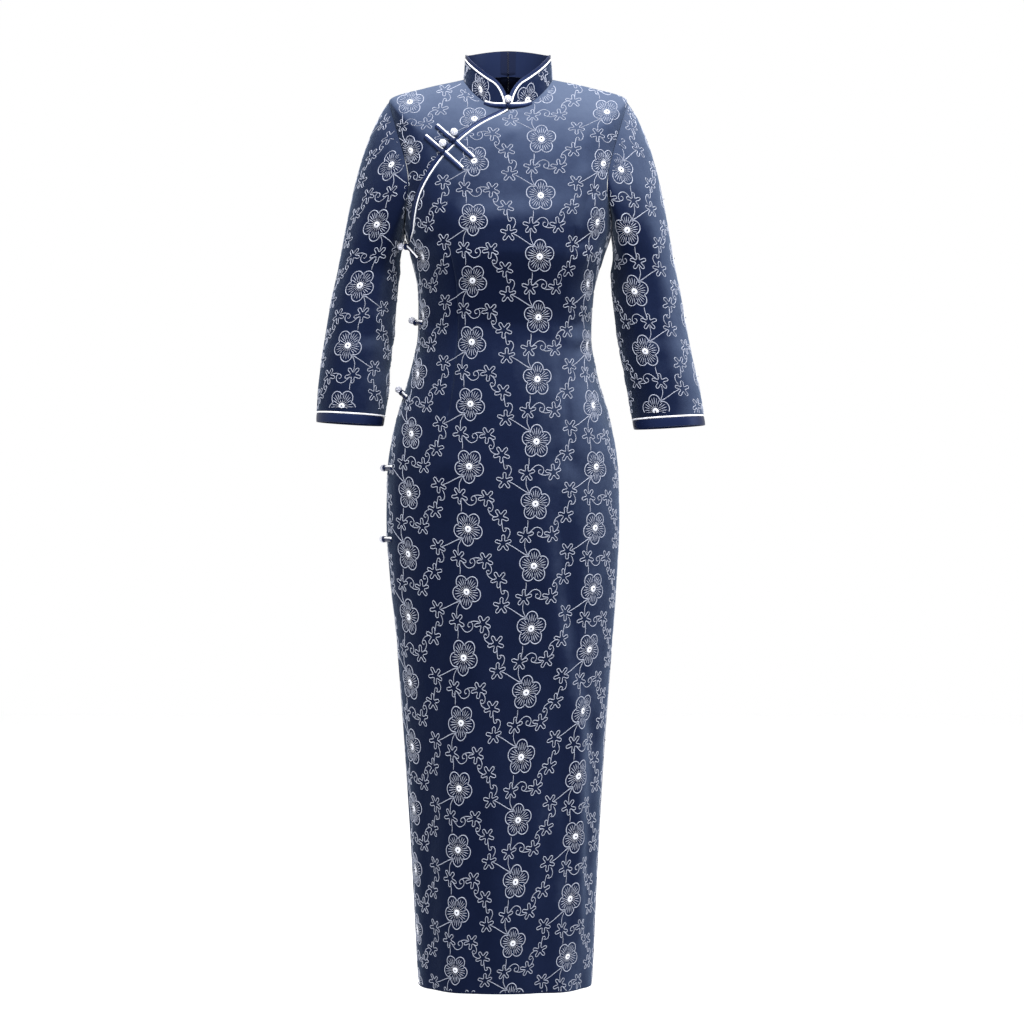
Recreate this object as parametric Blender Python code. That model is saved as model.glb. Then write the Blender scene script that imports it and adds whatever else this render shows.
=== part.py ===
"""Cheongsam dress: fitted velvet, side-front opening, stand collar, three-quarter sleeves and side slits.

Metres, +Z up. The dress hangs as it is worn, hollow: its front faces -Y and the wearer's left is +X. The
origin is the middle of the neck, level with the neck ends of the shoulder seams. Sizes in the tables are
millimetres.

The cloth is cut from one body form. A place on it is (down, around): down is the distance from the
neckline along the side of the form, around is the angle from the wearer's left (0) over the front (90) and
right (180) to the back (270).
"""

import math
from types import SimpleNamespace

import bmesh
import bpy
import numpy as np
from mathutils import Matrix, Vector

MM = 0.001
WALL = 1.6  # velvet
SATIN_WALL = 1.1  # collar lining
SEAM = 0.3  # between two pieces at a seam
DIP_POWER = 1.6  # how a ring runs from its side height to its front and back heights

# Rings of the body form, from the neck to the hem.
RING_COLUMNS = (
    "name", "side_z", "front_z", "back_z", "half_width",
    "front", "back", "centre_x", "front_power", "back_power",
)
RINGS = (
    ("neckline", 0, -53, 14, 65.5, 66, 56, 0, 2.0, 2.0),
    ("mid_shoulder", -12, -88, -20, 121, 90, 86, 0, 2.1, 2.1),
    ("shoulder_point", -32, -126, -66, 174, 106, 103, 0, 2.2, 2.2),
    ("across_chest", -115, -180, -136, 168, 124, 111, 0, 2.3, 2.3),
    ("underarm", -228, -231, -228, 150, 136, 108, 0, 2.45, 2.3),
    ("bust", -262, -262, -262, 138.5, 136, 104, 0, 2.5, 2.3),
    ("under_bust", -315, -315, -315, 126.5, 116, 92, -2, 2.35, 2.25),
    ("waist", -368, -368, -368, 125, 101, 77, -4, 2.25, 2.2),
    ("high_hip", -432, -432, -432, 136, 107, 91, -5.5, 2.2, 2.2),
    ("hip_top", -500, -500, -500, 155.5, 112, 112, -6, 2.2, 2.2),
    ("hip", -570, -570, -570, 167, 114, 123, -6.5, 2.2, 2.25),
    ("seat", -640, -640, -640, 168.6, 113, 124, -6.5, 2.2, 2.25),
    ("thigh", -750, -750, -750, 162.5, 110, 113, -5.5, 2.2, 2.2),
    ("low_thigh", -865, -865, -865, 153, 105, 103, -5, 2.2, 2.2),
    ("knee", -980, -980, -980, 144.5, 99, 97, -5, 2.2, 2.2),
    ("calf", -1150, -1150, -1150, 134.5, 92, 91, -4.5, 2.2, 2.2),
    ("hem", -1318, -1318, -1318, 126.5, 87, 86, -4, 2.2, 2.2),
)
# Soft folds of the skirt: ridges out of the form, running from a top place to a bottom place.
FOLD_COLUMNS = ("top_around", "top_z", "bottom_around", "bottom_z", "half_width", "height")
FOLDS = (
    (42, -600, 50, -1318, 26, 3.4),
    (62, -760, 70, -1318, 22, -2.6),
    (28, -700, 30, -1318, 20, -2.4),
    (118, -800, 122, -1318, 30, 2.4),
    (150, -700, 143, -1318, 24, -2.2),
    (232, -640, 236, -1318, 30, 3.0),
    (250, -760, 254, -1318, 24, -2.4),
    (300, -700, 297, -1318, 28, 2.8),
    (318, -640, 322, -1318, 24, -2.2),
)
FOLD_RADIUS = 115  # turns a fold's angle into a distance round the skirt
FOLD_GROWS = 0.55  # share of its length over which a fold comes to its full height
FRONT_ARMHOLE = 33  # degrees in from the side at the middle of the armhole
BACK_ARMHOLE = 29
ARMHOLE_POWER = 0.6
# The opening's edge on the front: how far to the wearer's right of the middle it is at each height.
OPENING_COLUMNS = ("z", "across")
OPENING = (
    (-58, 0), (-64, 11.5), (-81, 41), (-104, 68.5), (-129, 92.5), (-155, 110.5), (-171, 119.5), (-185, 125),
    (-204, 129.5), (-230, 133),
)
CLOSURE_IN = 8  # the closed side edge lies this far in front of the side seam's line
CLOSURE_START = -262
CLOSURE_END = -690
CLOSURE_BLEND = 50
UNDERLAP_WIDTH = 38
UNDERLAP_START = (24, 64)  # down from the neckline, between which the underlap widens
UNDERLAP_SUNK = 0.4
LIFT = 2.3  # the front stands off the form by this where it lies over the underlap
LIFT_BLEND = 26
SLIT_TOP = -837
SLIT_GAP = 5  # how far each front edge draws back at the hem
HEM_CORNER = 13
FRONT_COLUMNS = 18
BACK_COLUMNS = 9
UNDERLAP_COLUMNS = 10
SIDE_TIGHT = 0.5  # how much closer a panel's columns are where the form turns to the side
YOKE_ROWS = 5
ARMHOLE_ROWS = 11
BODY_STEPS = ((-264, 6), (-400, 27), (-700, 33), (-1318, 63))  # row spacing down to each height

CORD_RADIUS = 1.2  # white piping
CORD_OUT = 1.45  # its centre beyond the velvet's edge
BAND_NEAR = 2.9
BAND_FAR = 9.4
BAND_WALL = 1.5
TRIM_START = 0.3  # share of the way from the neckline to the first row at which the opening's trim starts

# Collar: heights up its surface, lengths along its base from the velvet's front end.
COLLAR_FRONT_GAP = 6.5
COLLAR_FRONT_HEIGHT = 34
COLLAR_SIDE_HEIGHT = 29
COLLAR_CORNER = 22
COLLAR_DROP = (30, 95)
COLLAR_WALL = 1.4
COLLAR_BAND_FAR = 8.4
COLLAR_COLUMNS = 17

# Sleeves, looked at from the front: one row for each height of the middle of the section.
SLEEVE_COLUMNS = ("z", "centre_x", "half_width", "centre_y", "half_depth")
SLEEVES = {
    "right": (
        (-290, 205, 45.5, 3, 54),
        (-322, 210, 47.5, 2, 54),
        (-366, 215.5, 49.5, 0, 54),
        (-410, 221, 50.5, -4, 54),
        (-452, 225, 51.5, -8, 53),
        (-487, 228.5, 49.8, -11, 52),
    ),
    "left": (
        (-290, 198.5, 48, 3, 54),
        (-322, 203, 50, 2, 54),
        (-366, 209.5, 51, 0, 54),
        (-410, 217, 51.8, -4, 54),
        (-452, 226, 52.5, -8, 53),
        (-492, 232.5, 52.2, -11, 52),
    ),
}
SLEEVE_TILT = 3.5  # degrees by which each section is lower on its inner side
CAP_ROWS = 7
CAP_TOP_ANGLE = 34  # of the sleeve's lines from straight down, where they leave the top of the armhole
CAP_UNDER_ANGLE = 18
ARM_ROWS = 8
CREASE_COLUMNS = ("z", "around", "half_height", "half_span", "height")
CREASES = (
    (-352, 95, 9, 60, 2.0),
    (-378, 130, 9, 55, -2.2),
    (-398, 80, 10, 60, 1.8),
    (-345, 250, 9, 60, -1.8),
    (-385, 270, 10, 60, 2.0),
    (-425, 200, 10, 50, -1.8),
)
CUFF_BAND = 13

# Frogs: two legs that meet at a knot, and a round bead.
LEG_HALF_WIDTH = 3.7
LEG_HALF_HEIGHT = 1.6
BEAD_RADIUS = 5.5
LEG_STEPS = (1.0, 6.0, 11.0, 17.0, 26.0, 36.0)  # places along a leg, from its knot
KNOT_END = (3, 12)
KNOT_SWELL = 0.7
# How high a leg's underside lies at each of those places, above the form.
OVER_FRONT = (3.3, 3.2, 2.8, 2.7, 2.7, 2.7)
OVER_UNDERLAP = (3.2, 2.4, 0.7, 0.1, 0.0, 0.0)
OVER_EDGE = (3.7, 3.3, 3.1, 2.8, 1.4, 0.5)
OVER_SIDE = (3.2, 1.6, 0.6, 0.4, 0.4, 0.4)
OVER_COLLAR = (1.7, 1.5, 1.0, 0.5, 0.4, 0.4)
CHEST_FROGS = (-105, -120.5)
CHEST_KNOT_OUT = 6  # beyond the front's edge
CHEST_SLOPE = 43.8  # degrees down towards the wearer's left
CHEST_BEAD = {"along": -7.8, "up": 7.9, "out": 8.0}
NECK_FROG_HEIGHT = 3.9
NECK_BEAD = {"up": 12.0, "out": 7.6}
SIDE_FROG_COLUMNS = ("z", "loop_slope", "knob_slope", "bead_along", "bead_up", "bead_out", "knob_heights")
SIDE_FROGS = (
    (-246, 36, 14, -2, 3, 13.2, OVER_EDGE),
    (-355, 4, 4, -2, 3, 11.4, OVER_SIDE),
    (-459, 12, 12, -2, 3, 11.6, OVER_SIDE),
    (-567, 0, 0, -16, 0, 9.0, OVER_SIDE),
    (-670, 0, 0, -16, 0, 9.0, OVER_SIDE),
)

ZIP_BOTTOM = -520
TAPE_WIDTH = 11
TAPE_WALL = 0.9
TAPE_CLEAR = 0.3
SLIDER_HEIGHT = 21  # up the collar
SLIDER_FACE = 2.5  # from the velvet to the slider's face
BRIDGE_HALF_LENGTH = 2.2
BRIDGE_WALL = 0.8
BRIDGE_ROOM = 1.9
PULL_THICKNESS = 1.0

VELVET = ("velvet", (0.010, 0.018, 0.052, 1), 0.85)
SATIN = ("navy_satin", (0.010, 0.014, 0.040, 1), 0.35)
WHITE_SATIN = ("white_satin", (0.80, 0.80, 0.82, 1), 0.35)
BEAD = ("bead", (0.75, 0.76, 0.80, 1), 0.15)
TAPE = ("zip_tape", (0.012, 0.016, 0.040, 1), 0.8)
ZIP_METAL = ("zip_metal", (0.03, 0.035, 0.06, 1), 0.35)


# ---------------------------------------------------------------- curves and the body form

def monotone(xs, ys, x):
    """A smooth curve through (xs, ys) that never overshoots them (Fritsch-Carlson); xs rise."""
    xs, ys = np.asarray(xs, float), np.asarray(ys, float)
    steps, slopes = np.diff(xs), np.diff(ys) / np.diff(xs)
    tangents = np.empty(len(xs))
    tangents[0], tangents[-1] = slopes[0], slopes[-1]
    product = slopes[:-1] * slopes[1:]
    weighted = 3 * (steps[:-1] + steps[1:]) / (
        (2 * steps[1:] + steps[:-1]) / np.where(product > 0, slopes[:-1], 1)
        + (steps[1:] + 2 * steps[:-1]) / np.where(product > 0, slopes[1:], 1)
    )
    tangents[1:-1] = np.where(product > 0, weighted, 0)
    x = np.clip(np.asarray(x, float), xs[0], xs[-1])
    i = np.clip(np.searchsorted(xs, x, side="right") - 1, 0, len(xs) - 2)
    h = steps[i]
    t = (x - xs[i]) / h
    return (
        ys[i] * (1 + 2 * t) * (1 - t) ** 2
        + h * tangents[i] * t * (1 - t) ** 2
        + ys[i + 1] * t * t * (3 - 2 * t)
        + h * tangents[i + 1] * t * t * (t - 1)
    )


def smooth(edge0, edge1, x):
    t = np.clip((np.asarray(x, float) - edge0) / (edge1 - edge0), 0, 1)
    return t * t * (3 - 2 * t)


def unit(vectors):
    return vectors / np.linalg.norm(vectors, axis=-1, keepdims=True)


def named(columns, rows):
    """The rows of a table, each with its values under the table's column names."""
    return [SimpleNamespace(**dict(zip(columns, row))) for row in rows]


def ring_column(name):
    return np.array([row[RING_COLUMNS.index(name)] for row in RINGS], float)


RING_STEPS = np.hypot(np.diff(ring_column("side_z")), np.diff(ring_column("half_width")))
RING_DOWN = np.concatenate(([0], np.cumsum(RING_STEPS)))
RING_NAMES = [row[0] for row in RINGS]
DOWN_SHOULDER, DOWN_UNDERARM, DOWN_HEM = (
    RING_DOWN[RING_NAMES.index(name)] for name in ("shoulder_point", "underarm", "hem")
)

UNDERARM_Z, HEM_Z = (ring_column("side_z")[RING_NAMES.index(name)] for name in ("underarm", "hem"))


def down_at(z):
    """How far down the side of the form a height is."""
    return float(np.interp(-z, -ring_column("side_z"), RING_DOWN))


def fold_height(around, z):
    height = np.zeros(np.shape(z))
    for fold in named(FOLD_COLUMNS, FOLDS):
        along = np.clip((z - fold.top_z) / (fold.bottom_z - fold.top_z), 0, 1)
        middle = fold.top_around + (fold.bottom_around - fold.top_around) * along
        across = (around - middle) * math.radians(1) * FOLD_RADIUS
        grown = fold.height * smooth(0, FOLD_GROWS, along)
        height = height + grown * np.exp(-((across / fold.half_width) ** 2) * 2)
    return height


def form(down, around):
    """Points of the plain body form, in millimetres, before its folds."""
    down, around = np.broadcast_arrays(np.asarray(down, float), np.asarray(around, float))
    size = {name: monotone(RING_DOWN, ring_column(name), down) for name in RING_COLUMNS[1:]}
    cosine, sine = np.cos(np.radians(around)), np.sin(np.radians(around))
    front = sine >= 0
    power = np.where(front, size["front_power"], size["back_power"])
    depth = np.where(front, -size["front"], size["back"])
    middle_z = np.where(front, size["front_z"], size["back_z"])
    x = size["centre_x"] + size["half_width"] * np.sign(cosine) * np.abs(cosine) ** (2 / power)
    y = depth * np.abs(sine) ** (2 / power)
    z = size["side_z"] + (middle_z - size["side_z"]) * np.abs(sine) ** DIP_POWER
    return np.stack([x, y, z], -1)


def form_normal(down, around):
    down, around = np.broadcast_arrays(np.asarray(down, float), np.asarray(around, float))
    low, high = np.clip(down - 1, 0, DOWN_HEM), np.clip(down + 1, 0, DOWN_HEM)
    along = form(high, around) - form(low, around)
    across = form(down, around + 0.7) - form(down, around - 0.7)
    return unit(np.cross(across, along))


def cloth(down, around, lift=0.0):
    """Points and outward normals of the cloth: the form with its folds, moved out by lift."""
    points, normals = form(down, around), form_normal(down, around)
    rise = fold_height(np.mod(around, 360), points[..., 2]) + lift
    return points + normals * np.asarray(rise)[..., None], normals


def spread(down, start, end, count, start_inset=0.0, end_inset=0.0, tight=(0.0, 0.0)):
    """Angles of count places along the ring at down between two angles, less an inset at each end.

    They are evenly spaced, but closer together towards an end by its share in tight.
    """
    fine = np.linspace(start, end, 361)
    points = form(down, fine)
    length = np.concatenate(([0], np.cumsum(np.linalg.norm(np.diff(points, axis=0), axis=1))))
    middles = (np.arange(count - 1) + 0.5) / (count - 1)
    widths = 1 - tight[0] * (1 - middles) ** 2 - tight[1] * middles**2
    share = np.concatenate(([0], np.cumsum(widths))) / np.sum(widths)
    wanted = start_inset + (length[-1] - end_inset - start_inset) * share
    return np.interp(wanted, length, fine)


def arc_shift(down, around, distance):
    """The angle that lies distance further on (or back, if negative) along the ring at down."""
    fine = np.linspace(around, around + (90 if distance > 0 else -90), 181)
    points = form(down, fine)
    length = np.concatenate(([0], np.cumsum(np.linalg.norm(np.diff(points, axis=0), axis=1))))
    return float(np.interp(abs(distance), length, fine))


# ---------------------------------------------------------------- the panels' edges

def rows_down():
    yoke = np.linspace(0, DOWN_SHOULDER, YOKE_ROWS + 1)
    turn = np.linspace(0, math.pi, ARMHOLE_ROWS + 1)[1:]
    armhole = DOWN_SHOULDER + (DOWN_UNDERARM - DOWN_SHOULDER) * (1 - np.cos(turn)) / 2
    rows = [*yoke, *armhole]
    for height, step in BODY_STEPS:
        start, end = rows[-1], down_at(height)
        count = max(1, round((end - start) / step))
        rows += list(np.linspace(start, end, count + 1)[1:])
    return np.array(rows)


ROWS = rows_down()


def armhole_inset(down, widest):
    t = np.clip((down - DOWN_SHOULDER) / (DOWN_UNDERARM - DOWN_SHOULDER), 0, 1)
    return widest * np.sin(math.pi * t) ** ARMHOLE_POWER if 0 < t < 1 else 0.0


def opening_across(z):
    places = named(OPENING_COLUMNS, OPENING)
    return -monotone([-place.z for place in places], [place.across for place in places], -z)


def crossing(down):
    """Where the ring at down crosses the opening's edge."""
    fine = np.linspace(90, 180, 721)
    points = form(down, fine)
    beyond = points[:, 0] - opening_across(points[:, 2])
    last = np.nonzero(beyond > 0)[0]
    if not len(last):
        return 90.0
    i = min(last[-1], len(fine) - 2)
    return float(np.interp(0, [-beyond[i], -beyond[i + 1]], [fine[i], fine[i + 1]]))


def arc_between(down, start, end):
    points = form(down, np.linspace(start, end, 181))
    return float(np.sum(np.linalg.norm(np.diff(points, axis=0), axis=1)))


def opening_around(down):
    """The angle of the front's right edge: along the opening, under the arm, then down the closed side."""
    z = float(form(down, 180)[2])
    if down <= DOWN_UNDERARM:
        return crossing(down)
    under_arm = arc_between(DOWN_UNDERARM, crossing(DOWN_UNDERARM), 180)
    round_arm = float(smooth(UNDERARM_Z, CLOSURE_START, z))
    closed = CLOSURE_IN * float(smooth(CLOSURE_END - CLOSURE_BLEND, CLOSURE_END, z))
    distance = under_arm + (max(closed, SEAM / 2) - under_arm) * round_arm
    return arc_shift(down, 180, -distance)


def slit_step(z, at_hem):
    return at_hem * float(smooth(SLIT_TOP, HEM_Z, z))


def side_inset(down, at_hem):
    z = float(form(down, 0)[2])
    return SEAM / 2 + slit_step(z, at_hem)


def front_edges(down):
    left = armhole_inset(down, FRONT_ARMHOLE)
    right = opening_around(down)
    return left, right


# ---------------------------------------------------------------- mesh builders

def material(finish):
    name, colour, roughness = finish
    made = bpy.data.materials.get(name)
    if made is None:
        made = bpy.data.materials.new(name)
        made.use_nodes = True
        shader = made.node_tree.nodes["Principled BSDF"]
        shader.inputs["Base Color"].default_value = colour
        shader.inputs["Roughness"].default_value = roughness
        shader.inputs["Metallic"].default_value = 0.8 if name == "zip_metal" else 0.0
    return made


def add_object(name, work, finish):
    mesh = bpy.data.meshes.new(name)
    bmesh.ops.recalc_face_normals(work, faces=work.faces)
    if work.calc_volume(signed=True) < 0:
        bmesh.ops.reverse_faces(work, faces=work.faces)
    work.to_mesh(mesh)
    work.free()
    mesh.shade_smooth()
    mesh.set_sharp_from_angle(angle=math.radians(50))
    mesh.materials.append(material(finish))
    made = bpy.data.objects.new(name, mesh)
    bpy.context.collection.objects.link(made)
    return made


def sheet(name, outer, inner, finish, closed=False):
    """A wall between two grids of points (rows by columns); closed joins the last column to the first."""
    work = bmesh.new()
    rows, columns = outer.shape[:2]
    sides = [
        [[work.verts.new(Vector(point * MM)) for point in row] for row in grid] for grid in (outer, inner)
    ]
    spans = columns if closed else columns - 1
    for grid in sides:
        for i in range(rows - 1):
            for j in range(spans):
                k = (j + 1) % columns
                corners = (grid[i][j], grid[i + 1][j], grid[i + 1][k], grid[i][k])
                falling = (outer[i, j] - outer[i + 1, k]) @ (outer[i, j] - outer[i + 1, k])
                rising = (outer[i + 1, j] - outer[i, k]) @ (outer[i + 1, j] - outer[i, k])
                turn = 0 if falling <= rising else 1
                for picks in ((0, 1, 2), (2, 3, 0)):
                    work.faces.new([corners[(pick + turn) % 4] for pick in picks])
    out, back = sides
    for i in (0, rows - 1):
        for j in range(spans):
            k = (j + 1) % columns
            work.faces.new((out[i][j], out[i][k], back[i][k], back[i][j]))
    if not closed:
        for j in (0, columns - 1):
            for i in range(rows - 1):
                work.faces.new((out[i][j], out[i + 1][j], back[i + 1][j], back[i][j]))
    return add_object(name, work, finish)


def bar(name, path, ups, half_width, half_height, sides, finish, closed=False):
    """A solid bar swept along path; its height lies along ups.

    Widths and heights may be one value for each point.
    """
    path, ups = np.asarray(path, float), unit(np.asarray(ups, float))
    if closed:
        along = np.roll(path, -1, 0) - np.roll(path, 1, 0)
    else:
        along = np.gradient(path, axis=0)
    across = unit(np.cross(unit(along), ups))
    ups = unit(np.cross(across, unit(along)))
    turn = (np.arange(sides) + 0.5) * 2 * math.pi / sides
    widths = np.broadcast_to(half_width, len(path))
    heights = np.broadcast_to(half_height, len(path))
    work = bmesh.new()
    rings = []
    for point, side, up, width, height in zip(path, across, ups, widths, heights):
        ring = [point + side * width * math.cos(a) + up * height * math.sin(a) for a in turn]
        rings.append([work.verts.new(Vector(p * MM)) for p in ring])
    count = len(rings)
    for i in range(count if closed else count - 1):
        near, far = rings[i], rings[(i + 1) % count]
        for j in range(sides):
            k = (j + 1) % sides
            work.faces.new((near[j], near[k], far[k], far[j]))
    if not closed:
        work.faces.new(rings[0])
        work.faces.new(rings[-1])
    return add_object(name, work, finish)


def box(work, low, high):
    """Adds a box between two corners, in millimetres."""
    low, high = np.asarray(low, float), np.asarray(high, float)
    made = bmesh.ops.create_cube(work, size=1)
    for vert in made["verts"]:
        vert.co = Vector((low + (np.array(vert.co) + 0.5) * (high - low)) * MM)


# ---------------------------------------------------------------- panels

def panel_grid(edges, columns, rows, lift=None, insets=None, tight=(0.0, 0.0)):
    """Points and normals of a panel: for each row the places between its two edge angles."""
    points, normals = [], []
    for down in rows:
        start, end = edges(down)
        near, far = insets(down) if insets else (0.0, 0.0)
        around = spread(down, start, end, columns, near, far, tight)
        out = lift(down, around) if lift else 0.0
        row_points, row_normals = cloth(down, around, out)
        points.append(row_points)
        normals.append(row_normals)
    return np.array(points), np.array(normals)


def round_hem_corner(points, side, reach):
    """Lifts the hem's end points on one side so that the corner is rounded."""
    hem = points[-1]
    order = hem if side == "start" else hem[::-1]
    length = np.concatenate(([0], np.cumsum(np.linalg.norm(np.diff(order, axis=0), axis=1))))
    missing = np.clip(1 - length / reach, 0, 1)
    order[:, 2] += reach * (1 - np.sqrt(1 - missing**2)) * 0.8


def front_insets(down):
    if down <= DOWN_SHOULDER:
        return SEAM / 2, 0.0
    if down < DOWN_UNDERARM:
        return 0.0, 0.0
    near = side_inset(down, SLIT_GAP)
    z = float(form(down, 180)[2])
    return near, slit_step(z, SLIT_GAP)


def front_lift(down, around):
    """The front rises over the underlap: full next to the opening's edge, falling away further in."""
    edge = opening_around(down)
    points = form(down, np.linspace(edge, edge - 70, 141))
    length = np.concatenate(([0], np.cumsum(np.linalg.norm(np.diff(points, axis=0), axis=1))))
    distance = np.interp(edge - around, np.linspace(0, 70, 141), length)
    reach = underlap_width(down) + 6
    z = float(form(down, 180)[2])
    end = float(smooth(CLOSURE_END - 2 * CLOSURE_BLEND, CLOSURE_END - CLOSURE_BLEND * 0.8, z))
    start = float(smooth(0, UNDERLAP_START[0] - 2, down))
    return LIFT * (1 - smooth(reach, reach + LIFT_BLEND, distance)) * end * start


def underlap_width(down):
    return (UNDERLAP_WIDTH + SEAM) * float(smooth(*UNDERLAP_START, down)) - SEAM


def wall_of(points, normals, wall=WALL):
    return points, points - normals * wall


def front_main():
    tight = (SIDE_TIGHT, SIDE_TIGHT)
    points, normals = panel_grid(front_edges, FRONT_COLUMNS, ROWS, front_lift, front_insets, tight)
    round_hem_corner(points, "start", HEM_CORNER)
    round_hem_corner(points, "end", HEM_CORNER)
    sheet("front_main", *wall_of(points, normals), VELVET)
    return points, normals


def front_underlap():
    rows = ROWS[ROWS < down_at(CLOSURE_END)]

    def edges(down):
        inner = arc_shift(down, opening_around(down), -underlap_width(down))
        return inner, 180 - armhole_inset(down, FRONT_ARMHOLE)

    def insets(down):
        return 0.0, (0.0 if DOWN_SHOULDER < down < DOWN_UNDERARM else SEAM / 2)

    def sunk(down, around):
        return -UNDERLAP_SUNK * float(smooth(0, UNDERLAP_START[0] - 2, down))

    points, normals = panel_grid(edges, UNDERLAP_COLUMNS, rows, sunk, insets)
    sheet("front_underlap", *wall_of(points, normals), VELVET)
    return points, normals


def back_panel(side):
    """Half of the back, from the centre-back zip to the side."""
    left = side == "left"

    def edges(down):
        armhole = armhole_inset(down, BACK_ARMHOLE)
        return (270, 360 - armhole) if left else (180 + armhole, 270)

    def insets(down):
        outer = 0.0 if DOWN_SHOULDER < down < DOWN_UNDERARM else side_inset(down, 0)
        return (SEAM / 2, outer) if left else (outer, SEAM / 2)

    tight = (0, SIDE_TIGHT) if left else (SIDE_TIGHT, 0)
    points, normals = panel_grid(edges, BACK_COLUMNS, ROWS, insets=insets, tight=tight)
    round_hem_corner(points, "end" if left else "start", HEM_CORNER)
    sheet(f"back_{side}", *wall_of(points, normals), VELVET)
    return points, normals


def side_binding(name, points, normals, at_start):
    """The dark edge of a slit, laid on the panel's own edge points."""
    slit = points[:, 0 if at_start else -1, 2] < SLIT_TOP + 4
    rows = np.nonzero(slit)[0][:-1]
    order = slice(None) if at_start else slice(None, None, -1)
    edge = points[rows][:, order][:, 0]
    inward = unit(points[rows][:, order][:, 1] - edge)
    out = normals[rows][:, order][:, 0]
    last = edge[-1] + (edge[-1] - edge[-2]) * 0.75
    ends = ((edge, last), (inward, inward[-1]), (out, out[-1]))
    edge, inward, out = (np.vstack((part, [end])) for part, end in ends)
    outer = np.stack([edge + inward * across + out * 1.3 for across in (0.2, 5.4)], 1)
    inner = np.stack([edge + inward * across + out * 0.4 for across in (0.2, 5.4)], 1)
    sheet(name, outer, inner, SATIN)


# ---------------------------------------------------------------- opening trim

def opening_trim(front_points):
    """White cord and navy band beyond the opening's edge, from the neck frog to just past the underarm."""
    rows = [i for i, down in enumerate(ROWS) if i > 0 and float(form(down, 180)[2]) > CLOSURE_START]
    downs = np.concatenate(([ROWS[1] * TRIM_START], ROWS[rows]))
    angles = np.array([opening_around(down) for down in downs])
    raised = form_normal(downs[0], angles[0]) * LIFT * (1 - TRIM_START)
    start = front_points[0, -1] + (front_points[1, -1] - front_points[0, -1]) * TRIM_START + raised
    edge = np.concatenate(([start], front_points[rows, -1]))
    out = form_normal(downs, angles)
    along = unit(np.gradient(edge, axis=0))
    beyond = unit(np.cross(along, out))
    cord = edge + beyond * CORD_OUT - out * 0.7
    bar("opening_piping", cord, out, CORD_RADIUS, CORD_RADIUS, 6, WHITE_SATIN)
    far = BAND_NEAR + (BAND_FAR - BAND_NEAR) * smooth(ROWS[1] * (TRIM_START - 0.9), ROWS[1], downs)
    widths = np.stack([np.full(len(downs), BAND_NEAR), far], 1)
    places = edge[:, None] + beyond[:, None] * widths[..., None]
    outer = places - out[:, None] * 0.4
    inner = outer - out[:, None] * BAND_WALL
    sheet("opening_binding", outer, inner, SATIN)


# ---------------------------------------------------------------- collar

def collar_base():
    """The neckline by length from the centre front over the wearer's left to the centre back."""
    around = np.linspace(90, -90, 721)
    points = form(0, around)
    length = np.concatenate(([0], np.cumsum(np.linalg.norm(np.diff(points, axis=0), axis=1))))
    return around, length


BASE_AROUND, BASE_LENGTH = collar_base()
COLLAR_LENGTH = BASE_LENGTH[-1] - COLLAR_FRONT_GAP


def collar_point(along, height, inward=0.0):
    """Collar surface: along from the velvet's front end at the base, height up it, inward to the lining."""
    along, height = np.asarray(along, float), np.asarray(height, float)
    around = np.interp(along + COLLAR_FRONT_GAP, BASE_LENGTH, BASE_AROUND)
    low = form(0, around)
    edge_in = unit(form(0, around) - form(3, around))
    cosine, sine = np.cos(np.radians(around)), np.sin(np.radians(around))
    lean = np.radians(4 + 9 * np.clip(sine, 0, 1))
    flat = unit(np.stack([cosine, -sine, np.zeros_like(cosine)], -1))
    up = np.stack([-flat[..., 0] * np.sin(lean), -flat[..., 1] * np.sin(lean), np.cos(lean)], -1)
    tangent = unit(form(0, around - 0.7) - form(0, around + 0.7))
    out = unit(np.cross(up, tangent))
    out = np.where((np.sum(out * flat, -1) < 0)[..., None], -out, out)
    start = low + edge_in * 0.6 - up * (1.0 * np.abs(cosine))[..., None]
    return start + up * height[..., None] - out * (0.05 + inward)


def collar_outline(count):
    """The velvet's upper edge in (along, height), from low in front round its corner to the centre back."""
    turn = np.radians(np.linspace(14, 90, 7))
    corner = np.stack([COLLAR_CORNER * (1 - np.cos(turn)), COLLAR_FRONT_HEIGHT * np.sin(turn)], 1)
    along = np.linspace(COLLAR_CORNER, COLLAR_LENGTH - SEAM / 2, count - 6)[1:]
    drop = smooth(*COLLAR_DROP, along)
    level = COLLAR_FRONT_HEIGHT + (COLLAR_SIDE_HEIGHT - COLLAR_FRONT_HEIGHT) * drop
    return np.vstack((corner, np.stack([along, level], 1)))


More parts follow.
